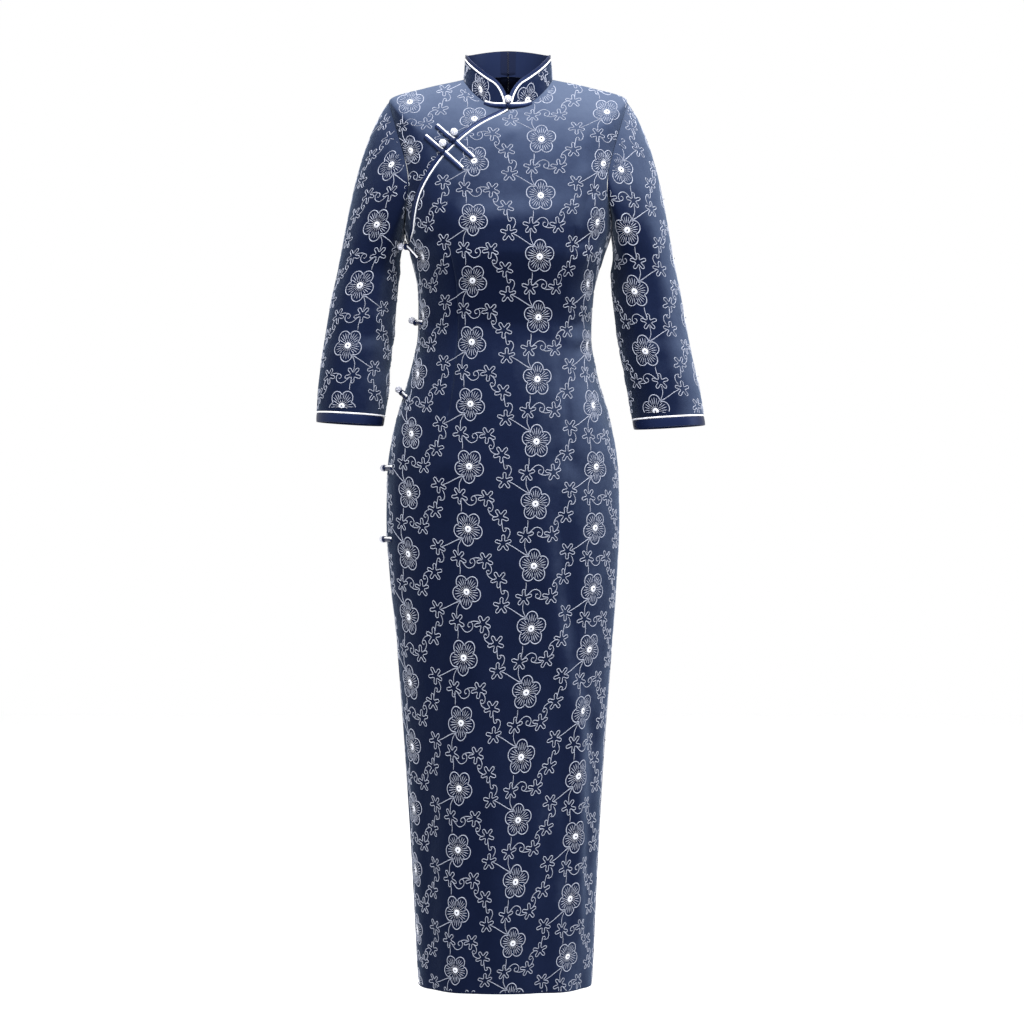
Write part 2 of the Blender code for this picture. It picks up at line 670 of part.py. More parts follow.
def collar_half(side):
    """Velvet stand, its white cord, its navy edge band and its satin lining."""
    mirror = np.array([1 if side == "left" else -1, 1, 1], float)
    outline = collar_outline(COLLAR_COLUMNS)
    away = np.gradient(outline, axis=0)
    away = unit(np.stack([-away[:, 1], away[:, 0]], 1))
    away[-1] = (0, 1)

    def grid(low_high, inward):
        rows = [collar_point(place[:, 0], place[:, 1], inward) * mirror for place in low_high]
        return np.array(rows)

    foot = np.stack([outline[:, 0], np.zeros(len(outline))], 1)
    middle = foot + (outline - foot) * 0.5
    velvet = (outline, middle, foot)
    sheet(f"collar_{side}", grid(velvet, 0), grid(velvet, COLLAR_WALL), VELVET)

    cord = outline + away * CORD_OUT
    path = collar_point(cord[:, 0], cord[:, 1], 0.2) * mirror
    out = unit(path - collar_point(cord[:, 0], cord[:, 1], 3.0) * mirror)
    bar(f"collar_piping_{side}", path, out, CORD_RADIUS, CORD_RADIUS, 6, WHITE_SATIN)

    band = (outline + away * COLLAR_BAND_FAR, outline + away * BAND_NEAR)
    sheet(f"collar_binding_{side}", grid(band, 0), grid(band, COLLAR_WALL), SATIN)

    top = outline + away * (COLLAR_BAND_FAR - 0.3)
    lining = (top, foot + (top - foot) * 0.5, foot + np.array([0, 0.6]))
    start, end = COLLAR_WALL + SEAM, COLLAR_WALL + SEAM + SATIN_WALL
    inside = grid(lining, end)
    sheet(f"collar_lining_{side}", grid(lining, start), inside, SATIN)
    return inside


# ---------------------------------------------------------------- sleeves

def armhole_loop(side):
    """The armhole's edge as the panels have it: from the shoulder point, down the front and up the back."""
    turns = [down for down in ROWS if DOWN_SHOULDER < down < DOWN_UNDERARM - 1e-6]
    places = [(DOWN_SHOULDER, 0.0)]
    places += [(down, armhole_inset(down, FRONT_ARMHOLE)) for down in turns]
    places.append((DOWN_UNDERARM, 0.0))
    places += [(down, -armhole_inset(down, BACK_ARMHOLE)) for down in reversed(turns)]
    down, around = np.array(places).T
    if side == "right":
        around = 180 - around
    return form(down, around), form_normal(down, around)


def sleeve_section(side, z_row, phases):
    sign = 1 if side == "left" else -1
    columns = np.array(SLEEVES[side], float).T
    centre_x, half_width, centre_y, half_depth = (
        float(monotone(-columns[0], column, -z_row)) for column in columns[1:]
    )
    across = half_width * np.cos(phases)
    x = sign * (centre_x + across)
    y = centre_y - half_depth * np.sin(phases)
    z = z_row + across * math.tan(math.radians(SLEEVE_TILT))
    return np.stack([x, y, z], -1)


def crease_height(points, phases):
    rise = np.zeros(points.shape[:-1])
    for crease in named(CREASE_COLUMNS, CREASES):
        turn = (np.degrees(phases) - crease.around + 180) % 360 - 180
        below = (points[..., 2] - crease.z) / crease.half_height
        rise += crease.height * np.exp(-(below**2) - (turn / crease.half_span) ** 2 * 2)
    return rise


def sleeve_grid(side):
    """Rows of the sleeve: a cap that leaves the armhole's own points, then the sections of the table."""
    sign = 1 if side == "left" else -1
    loop, body_out = armhole_loop(side)
    steps = np.linalg.norm(np.diff(np.vstack((loop, loop[:1])), axis=0), axis=1)
    length = np.concatenate(([0], np.cumsum(steps)))
    under = (len(loop)) // 2
    phases = np.where(
        np.arange(len(loop)) <= under,
        math.pi * length[:-1] / length[under],
        math.pi + math.pi * (length[:-1] - length[under]) / (length[-1] - length[under]),
    )
    table = SLEEVES[side]
    first = sleeve_section(side, table[0][0], phases)
    second = sleeve_section(side, table[0][0] - 10, phases)
    height = (loop[:, 2] - loop[under, 2]) / (loop[0, 2] - loop[under, 2])
    angle = np.radians(CAP_UNDER_ANGLE + (CAP_TOP_ANGLE - CAP_UNDER_ANGLE) * np.clip(height, 0, 1) ** 0.8)
    leave = np.stack([sign * np.sin(angle), -0.12 * np.sin(phases), -np.cos(angle)], -1)
    leave = unit(leave)
    loop_along = unit(np.roll(loop, -1, 0) - np.roll(loop, 1, 0))
    cloth_in = unit(np.cross(loop_along, body_out)) * sign
    sleeve_out = unit(np.cross(leave, loop_along)) * sign
    wrong_way = np.sum(sleeve_out * first_outward(first), -1) < 0
    sleeve_out = np.where(wrong_way[:, None], -sleeve_out, sleeve_out)
    across = -cloth_in
    shift = unit(leave - sleeve_out + body_out + across)
    start = loop + shift * (SEAM + 0.1)
    reach = np.linalg.norm(first - start, axis=1)[:, None]
    tangent = unit(first - second) * -1
    rows = []
    for t in np.linspace(0, 1, CAP_ROWS + 1):
        rows.append(
            start * (1 + 2 * t) * (1 - t) ** 2
            + leave * reach * 1.0 * t * (1 - t) ** 2
            + first * t * t * (3 - 2 * t)
            + tangent * reach * 0.9 * t * t * (t - 1)
        )
    for z in np.linspace(table[0][0], table[-1][0], ARM_ROWS + 1)[1:]:
        rows.append(sleeve_section(side, z, phases))
    points = np.array(rows)
    normals = grid_normals(points, first_outward)
    points = points + normals * crease_height(points, phases)[..., None]
    # At the armhole the wall must not lean over the panel beside it.
    inner_way = -normals[0]
    lean = np.minimum(np.sum(inner_way * across, -1), 0)[:, None]
    inner_way = unit(inner_way - across * lean)
    return points, normals, inner_way


def first_outward(row):
    return unit(row - row.mean(axis=0))


def grid_normals(points, outward):
    along = np.gradient(points, axis=0)
    across = np.roll(points, -1, 1) - np.roll(points, 1, 1)
    normals = unit(np.cross(along, across))
    for i, row in enumerate(points):
        if i and np.sum(normals[i] * outward(row)) < 0:
            normals[i] *= -1
    if np.sum(normals[0] * normals[1]) < 0:
        normals[0] *= -1
    return normals


def sleeve(side):
    points, normals, inner_way = sleeve_grid(side)
    inner = points - normals * WALL
    inner[0] = points[0] + inner_way * WALL
    sheet(f"sleeve_{side}", points, inner, VELVET, closed=True)
    edge, out = points[-1], normals[-1]
    onward = unit(points[-1] - points[-2])
    bar(f"cuff_piping_{side}", edge + onward * CORD_OUT - out * 0.5, out, CORD_RADIUS, CORD_RADIUS, 6,
        WHITE_SATIN, closed=True)
    band = np.array([edge + onward * down for down in (BAND_NEAR, BAND_NEAR + CUFF_BAND)])
    sheet(f"cuff_band_{side}", band, band - out * BAND_WALL, SATIN, closed=True)


# ---------------------------------------------------------------- frogs

def find_place(x, z):
    """(down, around) of the front's point that has this x and z, by Newton's method."""
    down, around = down_at(z) * 0.9, 90 - math.degrees(math.asin(np.clip(x / 170, -0.95, 0.95)))
    for _ in range(25):
        here = form(down, around)
        by_down = (form(down + 0.5, around) - here) / 0.5
        by_around = (form(down, around + 0.2) - here) / 0.2
        step = np.linalg.solve(
            [[by_down[0], by_around[0]], [by_down[2], by_around[2]]], [x - here[0], z - here[2]]
        )
        down, around = down + np.clip(step[0], -20, 20), around + np.clip(step[1], -15, 15)
    return down, around


def leg(name, place, heights):
    """One leg of a frog, laid over what is under it; place(s) is where it is s from the knot."""
    points, ups = [], []
    for s, height in zip(LEG_STEPS, heights):
        point, up = place(s, height + LEG_HALF_HEIGHT)
        points.append(point)
        ups.append(up)
    swell = 1 - smooth(*KNOT_END, np.array(LEG_STEPS))
    width = LEG_HALF_WIDTH + KNOT_SWELL * swell
    bar(name, points, ups, width, LEG_HALF_HEIGHT, 8, SATIN)


def bead(name, centre):
    work = bmesh.new()
    bmesh.ops.create_icosphere(work, subdivisions=2, radius=BEAD_RADIUS * MM)
    for vert in work.verts:
        vert.co += Vector(np.asarray(centre) * MM)
    add_object(name, work, BEAD)


def frog(name, place, loop_heights, knob_heights, bead_centre):
    leg(f"{name}_loop", place, loop_heights)
    leg(f"{name}_knob", lambda s, height: place(-s, height), knob_heights)
    bead(f"{name}_bead", bead_centre)


def chest_frogs():
    slope = math.radians(CHEST_SLOPE)
    along = np.array([math.cos(slope), 0, -math.sin(slope)])
    for number, z in enumerate(CHEST_FROGS, start=1):
        knot_x = float(opening_across(z)) - CHEST_KNOT_OUT

        def place(s, height):
            down, around = find_place(knot_x + along[0] * s, z + along[2] * s)
            return cloth(down, around, height)

        side_up = np.array([math.sin(slope), 0, math.cos(slope)])
        middle = (knot_x, 0, z) + along * CHEST_BEAD["along"] + side_up * CHEST_BEAD["up"]
        centre = cloth(*find_place(middle[0], middle[2]), CHEST_BEAD["out"])[0]
        frog(f"chest_frog_{number}", place, OVER_FRONT, OVER_UNDERLAP, centre)


def side_frogs():
    for number, row in enumerate(named(SIDE_FROG_COLUMNS, SIDE_FROGS), start=1):
        knot_down = down_at(row.z)
        knot_around = opening_around(knot_down)

        def place(s, height):
            slant = math.radians(row.loop_slope if s > 0 else row.knob_slope)
            down = knot_down + s * math.sin(slant)
            return cloth(down, arc_shift(down, knot_around, -s * math.cos(slant)), height)

        bead_around = arc_shift(knot_down, knot_around, -row.bead_along)
        centre = cloth(knot_down - row.bead_up, bead_around, row.bead_out)[0]
        frog(f"side_frog_{number}", place, OVER_FRONT, row.knob_heights, centre)


def neck_frog():
    def place(s, height):
        along = abs(s) - COLLAR_FRONT_GAP
        mirror = np.array([1 if s > 0 else -1, 1, 1], float)
        point = collar_point(along, NECK_FROG_HEIGHT, -height) * mirror
        deeper = collar_point(along, NECK_FROG_HEIGHT, 1 - height) * mirror
        return point, point - deeper

    centre = collar_point(-COLLAR_FRONT_GAP, NECK_BEAD["up"], -NECK_BEAD["out"])
    frog("neck_frog", place, OVER_COLLAR, OVER_COLLAR, centre)


# ---------------------------------------------------------------- centre-back zip

def zip_tape(side, lining, back_points, back_normals):
    """A tape down the inside of the centre back, from the points of the lining and of the back panel."""
    left = side == "left"
    order = slice(None) if left else slice(None, None, -1)
    inside = (back_points - back_normals * WALL)[:, order]
    inward = back_normals[:, order][:, 0]
    bottom = int(np.searchsorted(-inside[:, 0, 2], -ZIP_BOTTOM))
    rows = range(1, bottom)
    collar_edge, collar_next = lining[:, -1], lining[:, -2]
    collar_out = np.tile((0.0, 1.0, 0.0), (len(lining), 1))
    edge = np.vstack((collar_edge, inside[rows, 0]))
    beside = np.vstack((collar_next, inside[rows, 1]))
    out = np.vstack((collar_out, inward[rows]))
    across = unit(beside - edge)
    near = np.stack([edge + across * 0.1, edge + across * TAPE_WIDTH], 1) - out[:, None] * TAPE_CLEAR
    sheet(f"zip_tape_{side}", near, near - out[:, None] * TAPE_WALL, TAPE)


def zip_frame():
    """The slider's own directions at the collar's centre back: its seat, outward and upward."""
    seat = collar_point(COLLAR_LENGTH, SLIDER_HEIGHT)
    seat[0] = 0
    up = collar_point(COLLAR_LENGTH, SLIDER_HEIGHT + 5) - collar_point(COLLAR_LENGTH, SLIDER_HEIGHT)
    up[0] = 0
    up = unit(up)
    out = np.array([0, up[2], -up[1]])
    return seat, out, up


def placed(work, seat, out, up):
    """Moves a mesh built in (across, outward, upward) millimetres to its place."""
    for vert in work.verts:
        across, outward, upward = vert.co / MM
        vert.co = Vector((seat + np.array([across, 0, 0]) + out * outward + up * upward) * MM)


def zip_slider():
    seat, out, up = zip_frame()
    body = bmesh.new()
    box(body, (-2.6, SEAM, -5), (2.6, SLIDER_FACE, 5))
    placed(body, seat, out, up)
    slider = add_object("zip_slider", body, ZIP_METAL)
    bridge = bmesh.new()
    inner, outer = BRIDGE_HALF_LENGTH, BRIDGE_HALF_LENGTH + BRIDGE_WALL
    top = SLIDER_FACE + BRIDGE_ROOM
    profile = [
        (SLIDER_FACE - 1, -outer), (top + 0.3, -outer), (top + BRIDGE_WALL, -outer + 0.8),
        (top + BRIDGE_WALL, outer - 0.8), (top + 0.3, outer), (SLIDER_FACE - 1, outer),
        (SLIDER_FACE - 1, inner), (top, inner), (top, -inner), (SLIDER_FACE - 1, -inner),
    ]
    ends = [[bridge.verts.new((x * MM, y * MM, z * MM)) for y, z in profile] for x in (-0.8, 0.8)]
    count = len(profile)
    for j in range(count):
        k = (j + 1) % count
        bridge.faces.new((ends[0][j], ends[0][k], ends[1][k], ends[1][j]))
    for end in ends:
        bridge.faces.new(end)
    placed(bridge, seat, out, up)
    cutter = add_object("zip_bridge_shape", bridge, ZIP_METAL)
    cutter.hide_render = True
    cutter.display_type = "WIRE"
    joined = slider.modifiers.new("bridge", "BOOLEAN")
    joined.operation = "UNION"
    joined.solver = "EXACT"
    joined.object = cutter


def zip_pull():
    """A flat tab with an eye; its top bar lies under the slider's bridge, on the hinge's axis."""
    seat, out, up = zip_frame()
    outline = [
        (-2.7, 0.0), (-2.7, 0.6), (-1.2, 0.6), (1.2, 0.6), (2.7, 0.6), (2.7, 0.0),
        (2.7, -3.0), (3.0, -8.0), (3.4, -17.0), (2.0, -20.5),
        (-2.0, -20.5), (-3.4, -17.0), (-3.0, -8.0), (-2.7, -3.0),
    ]
    eye = [
        (-1.6, -1.0), (-1.6, -0.6), (-0.8, -0.6), (0.8, -0.6), (1.6, -0.6), (1.6, -1.0),
        (1.6, -2.2), (1.6, -3.2), (1.3, -3.9), (0.6, -4.1),
        (-0.6, -4.1), (-1.3, -3.9), (-1.6, -3.2), (-1.6, -2.2),
    ]
    axis = SLIDER_FACE + BRIDGE_ROOM / 2

    def ring(places, outward):
        return [seat + np.array([x, 0, 0]) + out * (axis + outward) + up * z for x, z in places]

    half = PULL_THICKNESS / 2
    pull = sheet(
        "zip_pull",
        np.array([ring(outline, half), ring(outline, -half)]),
        np.array([ring(eye, half), ring(eye, -half)]),
        ZIP_METAL,
        closed=True,
    )
    hinge = Vector((seat + out * axis) * MM)
    pull.data.transform(Matrix.Translation(-hinge))
    pull.location = hinge


# ---------------------------------------------------------------- the dress

def main():
    for old in list(bpy.data.objects):
        bpy.data.objects.remove(old)
    front_points, front_normals = front_main()
    front_underlap()
    for side in ("left", "right"):
        points, normals = back_panel(side)
        side_binding(f"slit_binding_back_{side}", points, normals, side == "right")
        side_binding(f"slit_binding_front_{side}", front_points, front_normals, side == "left")
        lining = collar_half(side)
        zip_tape(side, lining, points, normals)
        sleeve(side)
    opening_trim(front_points)
    neck_frog()
    chest_frogs()
    side_frogs()
    zip_slider()
    zip_pull()


main()
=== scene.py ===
"""Looks of the cheongsam: dense cloth shells, bindings and cords, raised embroidery, frogs, beads and zip.

Everything lies on the frame's own body form, whose tables and functions are repeated here in millimetres.
A place on the form is (down, around): down is the distance from the neckline along the side, around the
angle from the wearer's left (0) over the front (90) and right (180) to the back (270). Embroidery is charted
flat, in millimetres, and laid on each shell along its own grain.
"""

import math
from types import SimpleNamespace

import bpy
import numpy as np
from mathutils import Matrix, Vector


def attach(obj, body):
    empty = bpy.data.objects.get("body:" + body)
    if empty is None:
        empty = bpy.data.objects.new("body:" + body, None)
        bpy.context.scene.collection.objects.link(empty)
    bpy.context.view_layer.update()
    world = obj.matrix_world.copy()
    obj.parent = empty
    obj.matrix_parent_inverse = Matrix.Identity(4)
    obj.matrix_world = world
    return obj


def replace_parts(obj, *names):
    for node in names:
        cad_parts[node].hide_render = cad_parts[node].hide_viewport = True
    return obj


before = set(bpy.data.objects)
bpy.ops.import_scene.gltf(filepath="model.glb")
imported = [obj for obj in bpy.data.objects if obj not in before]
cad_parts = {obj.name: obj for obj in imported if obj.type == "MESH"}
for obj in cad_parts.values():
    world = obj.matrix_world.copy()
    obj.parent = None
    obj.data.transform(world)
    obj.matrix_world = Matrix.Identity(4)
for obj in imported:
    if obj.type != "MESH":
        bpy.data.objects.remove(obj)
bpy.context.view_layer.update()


# ---------------------------------------------------------------- sizes shared with the solids, millimetres

MM = 0.001
WALL = 1.6  # velvet
SATIN_WALL = 1.1  # collar lining
SEAM = 0.06  # between two pieces at a seam
DIP_POWER = 1.6  # how a ring runs from its side height to its front and back heights
# Rings of the body form, from the neck to the hem.
RING_COLUMNS = (
    "name", "side_z", "front_z", "back_z", "half_width",
    "front", "back", "centre_x", "front_power", "back_power",
)
RINGS = (
    ("neckline", 0, -53, 14, 65.5, 66, 56, 0, 2.0, 2.0),
    ("mid_shoulder", -12, -88, -20, 121, 90, 86, 0, 2.1, 2.1),
    ("shoulder_point", -32, -126, -66, 174, 106, 103, 0, 2.2, 2.2),
    ("across_chest", -115, -180, -136, 168, 124, 111, 0, 2.3, 2.3),
    ("underarm", -228, -231, -228, 150, 136, 108, 0, 2.45, 2.3),
    ("bust", -262, -262, -262, 138.5, 136, 104, 0, 2.5, 2.3),
    ("under_bust", -315, -315, -315, 126.5, 116, 92, -2, 2.35, 2.25),
    ("waist", -368, -368, -368, 125, 101, 77, -4, 2.25, 2.2),
    ("high_hip", -432, -432, -432, 136, 107, 91, -5.5, 2.2, 2.2),
    ("hip_top", -500, -500, -500, 155.5, 112, 112, -6, 2.2, 2.2),
    ("hip", -570, -570, -570, 167, 114, 123, -6.5, 2.2, 2.25),
    ("seat", -640, -640, -640, 168.6, 113, 124, -6.5, 2.2, 2.25),
    ("thigh", -750, -750, -750, 162.5, 110, 113, -5.5, 2.2, 2.2),
    ("low_thigh", -865, -865, -865, 153, 105, 103, -5, 2.2, 2.2),
    ("knee", -980, -980, -980, 144.5, 99, 97, -5, 2.2, 2.2),
    ("calf", -1150, -1150, -1150, 134.5, 92, 91, -4.5, 2.2, 2.2),
    ("hem", -1318, -1318, -1318, 126.5, 87, 86, -4, 2.2, 2.2),
)
# Soft folds of the skirt: ridges out of the form, running from a top place to a bottom place.
FOLD_COLUMNS = ("top_around", "top_z", "bottom_around", "bottom_z", "half_width", "height")
FOLDS = (
    (42, -600, 50, -1318, 26, 3.4),
    (62, -760, 70, -1318, 22, -2.6),
    (28, -700, 30, -1318, 20, -2.4),
    (118, -800, 122, -1318, 30, 2.4),
    (150, -700, 143, -1318, 24, -2.2),
    (232, -640, 236, -1318, 30, 3.0),
    (250, -760, 254, -1318, 24, -2.4),
    (300, -700, 297, -1318, 28, 2.8),
    (318, -640, 322, -1318, 24, -2.2),
)
FOLD_RADIUS = 115  # turns a fold's angle into a distance round the skirt
FOLD_GROWS = 0.55  # share of its length over which a fold comes to its full height
FRONT_ARMHOLE = 33  # degrees in from the side at the middle of the armhole
BACK_ARMHOLE = 29
ARMHOLE_POWER = 0.6
# The opening's edge on the front: how far to the wearer's right of the middle it is at each height.
OPENING_COLUMNS = ("z", "across")
OPENING = (
    (-58, 0), (-64, 11.5), (-81, 41), (-104, 68.5), (-129, 92.5), (-155, 110.5), (-171, 119.5), (-185, 125),
    (-204, 129.5), (-230, 133),
)
CLOSURE_IN = 8  # the closed side edge lies this far in front of the side seam's line
CLOSURE_START = -262
CLOSURE_END = -690
CLOSURE_BLEND = 50
UNDERLAP_WIDTH = 38
UNDERLAP_START = (24, 64)  # down from the neckline, between which the underlap widens
UNDERLAP_SUNK = 0.4
LIFT = 2.3  # the front stands off the form by this where it lies over the underlap
LIFT_BLEND = 26
SLIT_TOP = -837
SLIT_GAP = 5  # how far each front edge draws back at the hem
HEM_CORNER = 13
HEM_CORNER_RISE = 0.8
HEM_CORNER_BLEND = 4  # the rows above draw up with it over this many times its size
CORD_RADIUS = 1.2  # white piping
CORD_OUT = 1.45  # its centre beyond the velvet's edge
BAND_NEAR = 2.9
BAND_FAR = 9.4
BAND_WALL = 1.5
# Collar: heights up its surface, lengths along its base from the velvet's front end.
COLLAR_FRONT_GAP = 6.5
COLLAR_FRONT_HEIGHT = 34
COLLAR_SIDE_HEIGHT = 29
COLLAR_CORNER = 22
COLLAR_DROP = (30, 95)
COLLAR_WALL = 1.4
COLLAR_BAND_FAR = 8.4
# Sleeves, looked at from the front: one row for each height of the middle of the section.
# Each row: z, centre_x, half_width, centre_y, half_depth.
SLEEVES = {
    "right": (
        (-290, 205, 45.5, 3, 54),
        (-322, 210, 47.5, 2, 54),
        (-366, 215.5, 49.5, 0, 54),
        (-410, 221, 50.5, -4, 54),
        (-452, 225, 51.5, -8, 53),
        (-487, 228.5, 49.8, -11, 52),
    ),
    "left": (
        (-290, 198.5, 48, 3, 54),
        (-322, 203, 50, 2, 54),
        (-366, 209.5, 51, 0, 54),
        (-410, 217, 51.8, -4, 54),
        (-452, 226, 52.5, -8, 53),
        (-492, 232.5, 52.2, -11, 52),
    ),
}
SLEEVE_TILT = 3.5  # degrees by which each section is lower on its inner side
CAP_ROWS = 24
CAP_TOP_ANGLE = 34  # of the sleeve's lines from straight down, where they leave the top of the armhole
CAP_UNDER_ANGLE = 18
CAP_POWER = 0.8  # how the angle grows from under the arm to the top
CAP_LEAN = 0.12  # of those lines to the front and back
CAP_MEET_STEP = 10  # down the arm, for the way in which the cap meets it
CAP_MEET_PULL = 0.9
ARM_ROWS = 36
CUFF_BAND = 13
LEG_HALF_HEIGHT = 1.6
BEAD_RADIUS = 5.5
LEG_STEPS = (1.0, 6.0, 11.0, 17.0, 26.0, 36.0)  # places along a leg, from its knot
KNOT_END = (3, 12)
KNOT_SWELL = 0.7
# How high a leg's underside lies at each of those places, above the form.
OVER_FRONT = (3.3, 3.2, 2.8, 2.7, 2.7, 2.7)
OVER_UNDERLAP = (3.2, 2.4, 0.7, 0.1, 0.0, 0.0)
OVER_EDGE = (3.7, 3.3, 3.1, 2.8, 1.4, 0.5)
OVER_SIDE = (3.2, 1.6, 0.6, 0.4, 0.4, 0.4)
OVER_COLLAR = (1.7, 1.5, 1.0, 0.5, 0.4, 0.4)
CHEST_FROGS = (-105, -120.5)
CHEST_KNOT_OUT = 6  # beyond the front's edge
CHEST_SLOPE = 43.8  # degrees down towards the wearer's left
CHEST_BEAD = {"along": -7.8, "up": 7.9, "out": 8.0}
NECK_FROG_HEIGHT = 3.9
NECK_BEAD = {"up": 12.0, "out": 7.6}
SIDE_FROG_COLUMNS = ("z", "loop_slope", "knob_slope", "bead_along", "bead_up", "bead_out", "knob_heights")
SIDE_FROGS = (
    (-246, 36, 14, -2, 3, 13.2, OVER_EDGE),
    (-355, 4, 4, -2, 3, 11.4, OVER_SIDE),
    (-459, 12, 12, -2, 3, 11.6, OVER_SIDE),
    (-567, 0, 0, -16, 0, 9.0, OVER_SIDE),
    (-670, 0, 0, -16, 0, 9.0, OVER_SIDE),
)
ZIP_BOTTOM = -520
TAPE_WALL = 0.9
TAPE_CLEAR = 0.3


# ---------------------------------------------------------------- sizes of the looks, millimetres

ROW_STEP = 6.0
YOKE_ROWS = 20
ARMHOLE_ROWS = 40
EDGE_STEPS = (0.0, 0.5, 1.2, 2.2, 4.0)  # columns next to a panel's edge
LINE_STEPS = (0.5, 1.4, 3.2)  # columns on each side of a dart's line
EDGE_ROLL = 0.7  # how far an edge turns in
EDGE_REACH = 2.2
FRONT_CELLS = (22, 34, 26)  # columns between the edges and the dart lines
BACK_CELLS = (26, 24)
UNDERLAP_CELLS = (26,)
COLLAR_DENSE = 110
COLLAR_ROWS = 12
COLLAR_CORD_SUNK = 0.2
COLLAR_BAND_SHARES = (1.0, 0.94, 0.75, 0.5, 0.25, 0.06, 0.0)  # its rows from the outer edge in
COLLAR_BAND_ROLL = 0.3
FACING_ROWS = 10
FACING_BELOW = 0.3  # the facing ends this far below the band's edge, and this far below the neckline
FACING_FOOT = 0.5
DENSE_FROM = 60  # a panel narrower than this has its edge columns closer together
DOME_STEPS = ((0.4, 0.86), (0.32, 0.5))  # a bar's rounded end: how far out each ring is and its size
CORD_SIDES = 10

# Darts: the angle on the form at their two ends.
DART_COLUMNS = ("top_around", "top_z", "bottom_around", "bottom_z")
FRONT_DARTS = (
    (122, -245, 118.7, -500),
    (54.6, -225, 55.8, -585),
)
DART_GROOVE = 1.4
DART_GROOVE_WIDTH = 1.3
DART_HOLLOW = 1.0
DART_HOLLOW_WIDTH = 9
DART_FADE = 0.06  # share of a dart's length over which its line fades at each end
DART_BAND = 6
DART_LEAST_SHARE = 0.12  # where a dart's columns may lie across the front
DART_SHARE_STEP = 0.2
DART_MOST_SHARE = 0.88
BACK_LINE_SHARE = 0.2  # the back's extra columns, from the centre back
PLACKET_ARC = -178  # the stitched edge beside the closed side
PLACKET_TOP = (400, 470)
PLACKET_BOTTOM = (660, 720)
PLACKET_GROOVE = 0.7
PLACKET_WIDTH = 1.2

# Creases of the worn cloth: two ends (arc from the middle line, height), how much the line bows,
# its half width, and how far it stands out (or sinks in).
CREASE_LINE_COLUMNS = ("arc_1", "z_1", "arc_2", "z_2", "bow", "half_width", "height")
CREASE_GROWS = (-0.15, 0.25)  # shares of its length
CREASE_FADES = (0.7, 1.15)
FRONT_CREASES = (
    (150, -236, 92, -262, 6, 7, -1.9),
    (158, -252, 104, -292, 5, 8, 1.7),
    (160, -272, 112, -318, -4, 6, -1.5),
    (-158, -258, -98, -286, 6, 7, -1.6),
    (-162, -284, -112, -316, -5, 8, 1.4),
    (164, -356, 100, -366, 5, 8, -1.8),
    (168, -374, 84, -382, -6, 10, 1.7),
    (164, -392, 108, -402, 4, 7, -1.3),
    (-158, -350, -96, -362, 5, 8, -1.7),
    (-166, -372, -104, -380, -5, 9, 1.6),
    (-160, -396, -118, -400, 3, 7, -1.2),
    (22, -352, 96, -372, 8, 11, 0.9),
    (-16, -366, -84, -350, 7, 10, -0.9),
    (128, -140, 86, -214, 12, 12, 1.5),
    (140, -168, 108, -226, 8, 8, -1.3),
    (-60, -560, -128, -606, 12, 16, 1.3),
    (70, -548, 138, -600, -10, 15, -1.2),
    (52, -600, 112, -960, 10, 19, 3.4),
    (86, -640, 146, -1010, 12, 15, -3.2),
    (-40, -700, -70, -1120, -8, 22, 2.4),
    (-90, -660, -112, -1200, 6, 18, -2.6),
    (18, -760, 34, -1280, 8, 20, -2.2),
    (112, -860, 124, -1305, 5, 13, 3.2),
    (84, -980, 92, -1312, -5, 12, -2.6),
    (-8, -980, -16, -1310, 4, 18, 2.2),
)
UNDERLAP_CREASES = (
    (-150, -150, -170, -206, 5, 9, 1.3),
    (-176, -214, -158, -250, 4, 6, -1.3),
)
# The back's creases, with arcs counted out from its middle line.
BACK_CREASES = (
    (20, -338, 96, -352, 6, 9, -2.0),
    (14, -356, 104, -372, 5, 10, 2.0),
    (24, -378, 110, -390, -6, 8, -1.8),
    (12, -396, 84, -412, 4, 9, 1.4),
    (60, -130, 96, -216, 10, 12, 1.6),
    (118, -176, 92, -240, -7, 9, -1.5),
    (30, -540, 110, -590, 12, 18, 1.5),
    (60, -700, 84, -1120, 8, 20, 2.0),
    (22, -780, 30, -1260, 5, 18, -1.6),
    (120, -740, 130, -1220, 6, 18, -1.8),
)
# The sleeves' creases and lengthwise folds: the middle's height and its angle round the sleeve, how far
# each reaches up and round, and how far it stands out.
CREASE_COLUMNS = ("z", "around", "half_height", "half_span", "height")
SLEEVE_CREASES = (
    (-352, 95, 9, 60, 0.8),
    (-378, 130, 9, 55, -0.9),
    (-398, 80, 10, 60, 0.7),
    (-345, 250, 9, 60, -1.4),
    (-385, 270, 10, 60, 1.6),
    (-425, 200, 10, 50, -1.4),
    (-262, 165, 8, 40, -0.9),
    (-282, 190, 7, 45, 0.9),
    (-372, 185, 7, 45, 1.0),
    (-392, 165, 6, 40, -0.9),
    (-330, 300, 8, 45, 1.0),
    (-362, 310, 7, 40, -1.0),
    (-408, 320, 8, 40, 0.9),
    (-330, 118, 140, 15, 2.2),
    (-350, 88, 130, 16, -1.8),
    (-320, 60, 150, 15, 1.5),
)

SLIT_TRIM_ABOVE = 4  # the slits' bound edge starts this far above them
# Section of that edge: how far in from the cloth's edge, and how far out of it.
SLIT_TRIM = ((0.2, 0.45), (0.6, 1.15), (1.8, 1.4), (3.6, 1.4), (4.8, 1.15), (5.4, 0.5))
SLIT_TRIM_UNDER = 0.35
TRIM_FROM = 5  # down from the neckline, where the opening's trim starts
TRIM_END = -264
TRIM_SMOOTHED = 6  # times that its line is evened out
TRIM_WIDENS = (-19, 21)  # down from the neckline, between which the opening's band widens
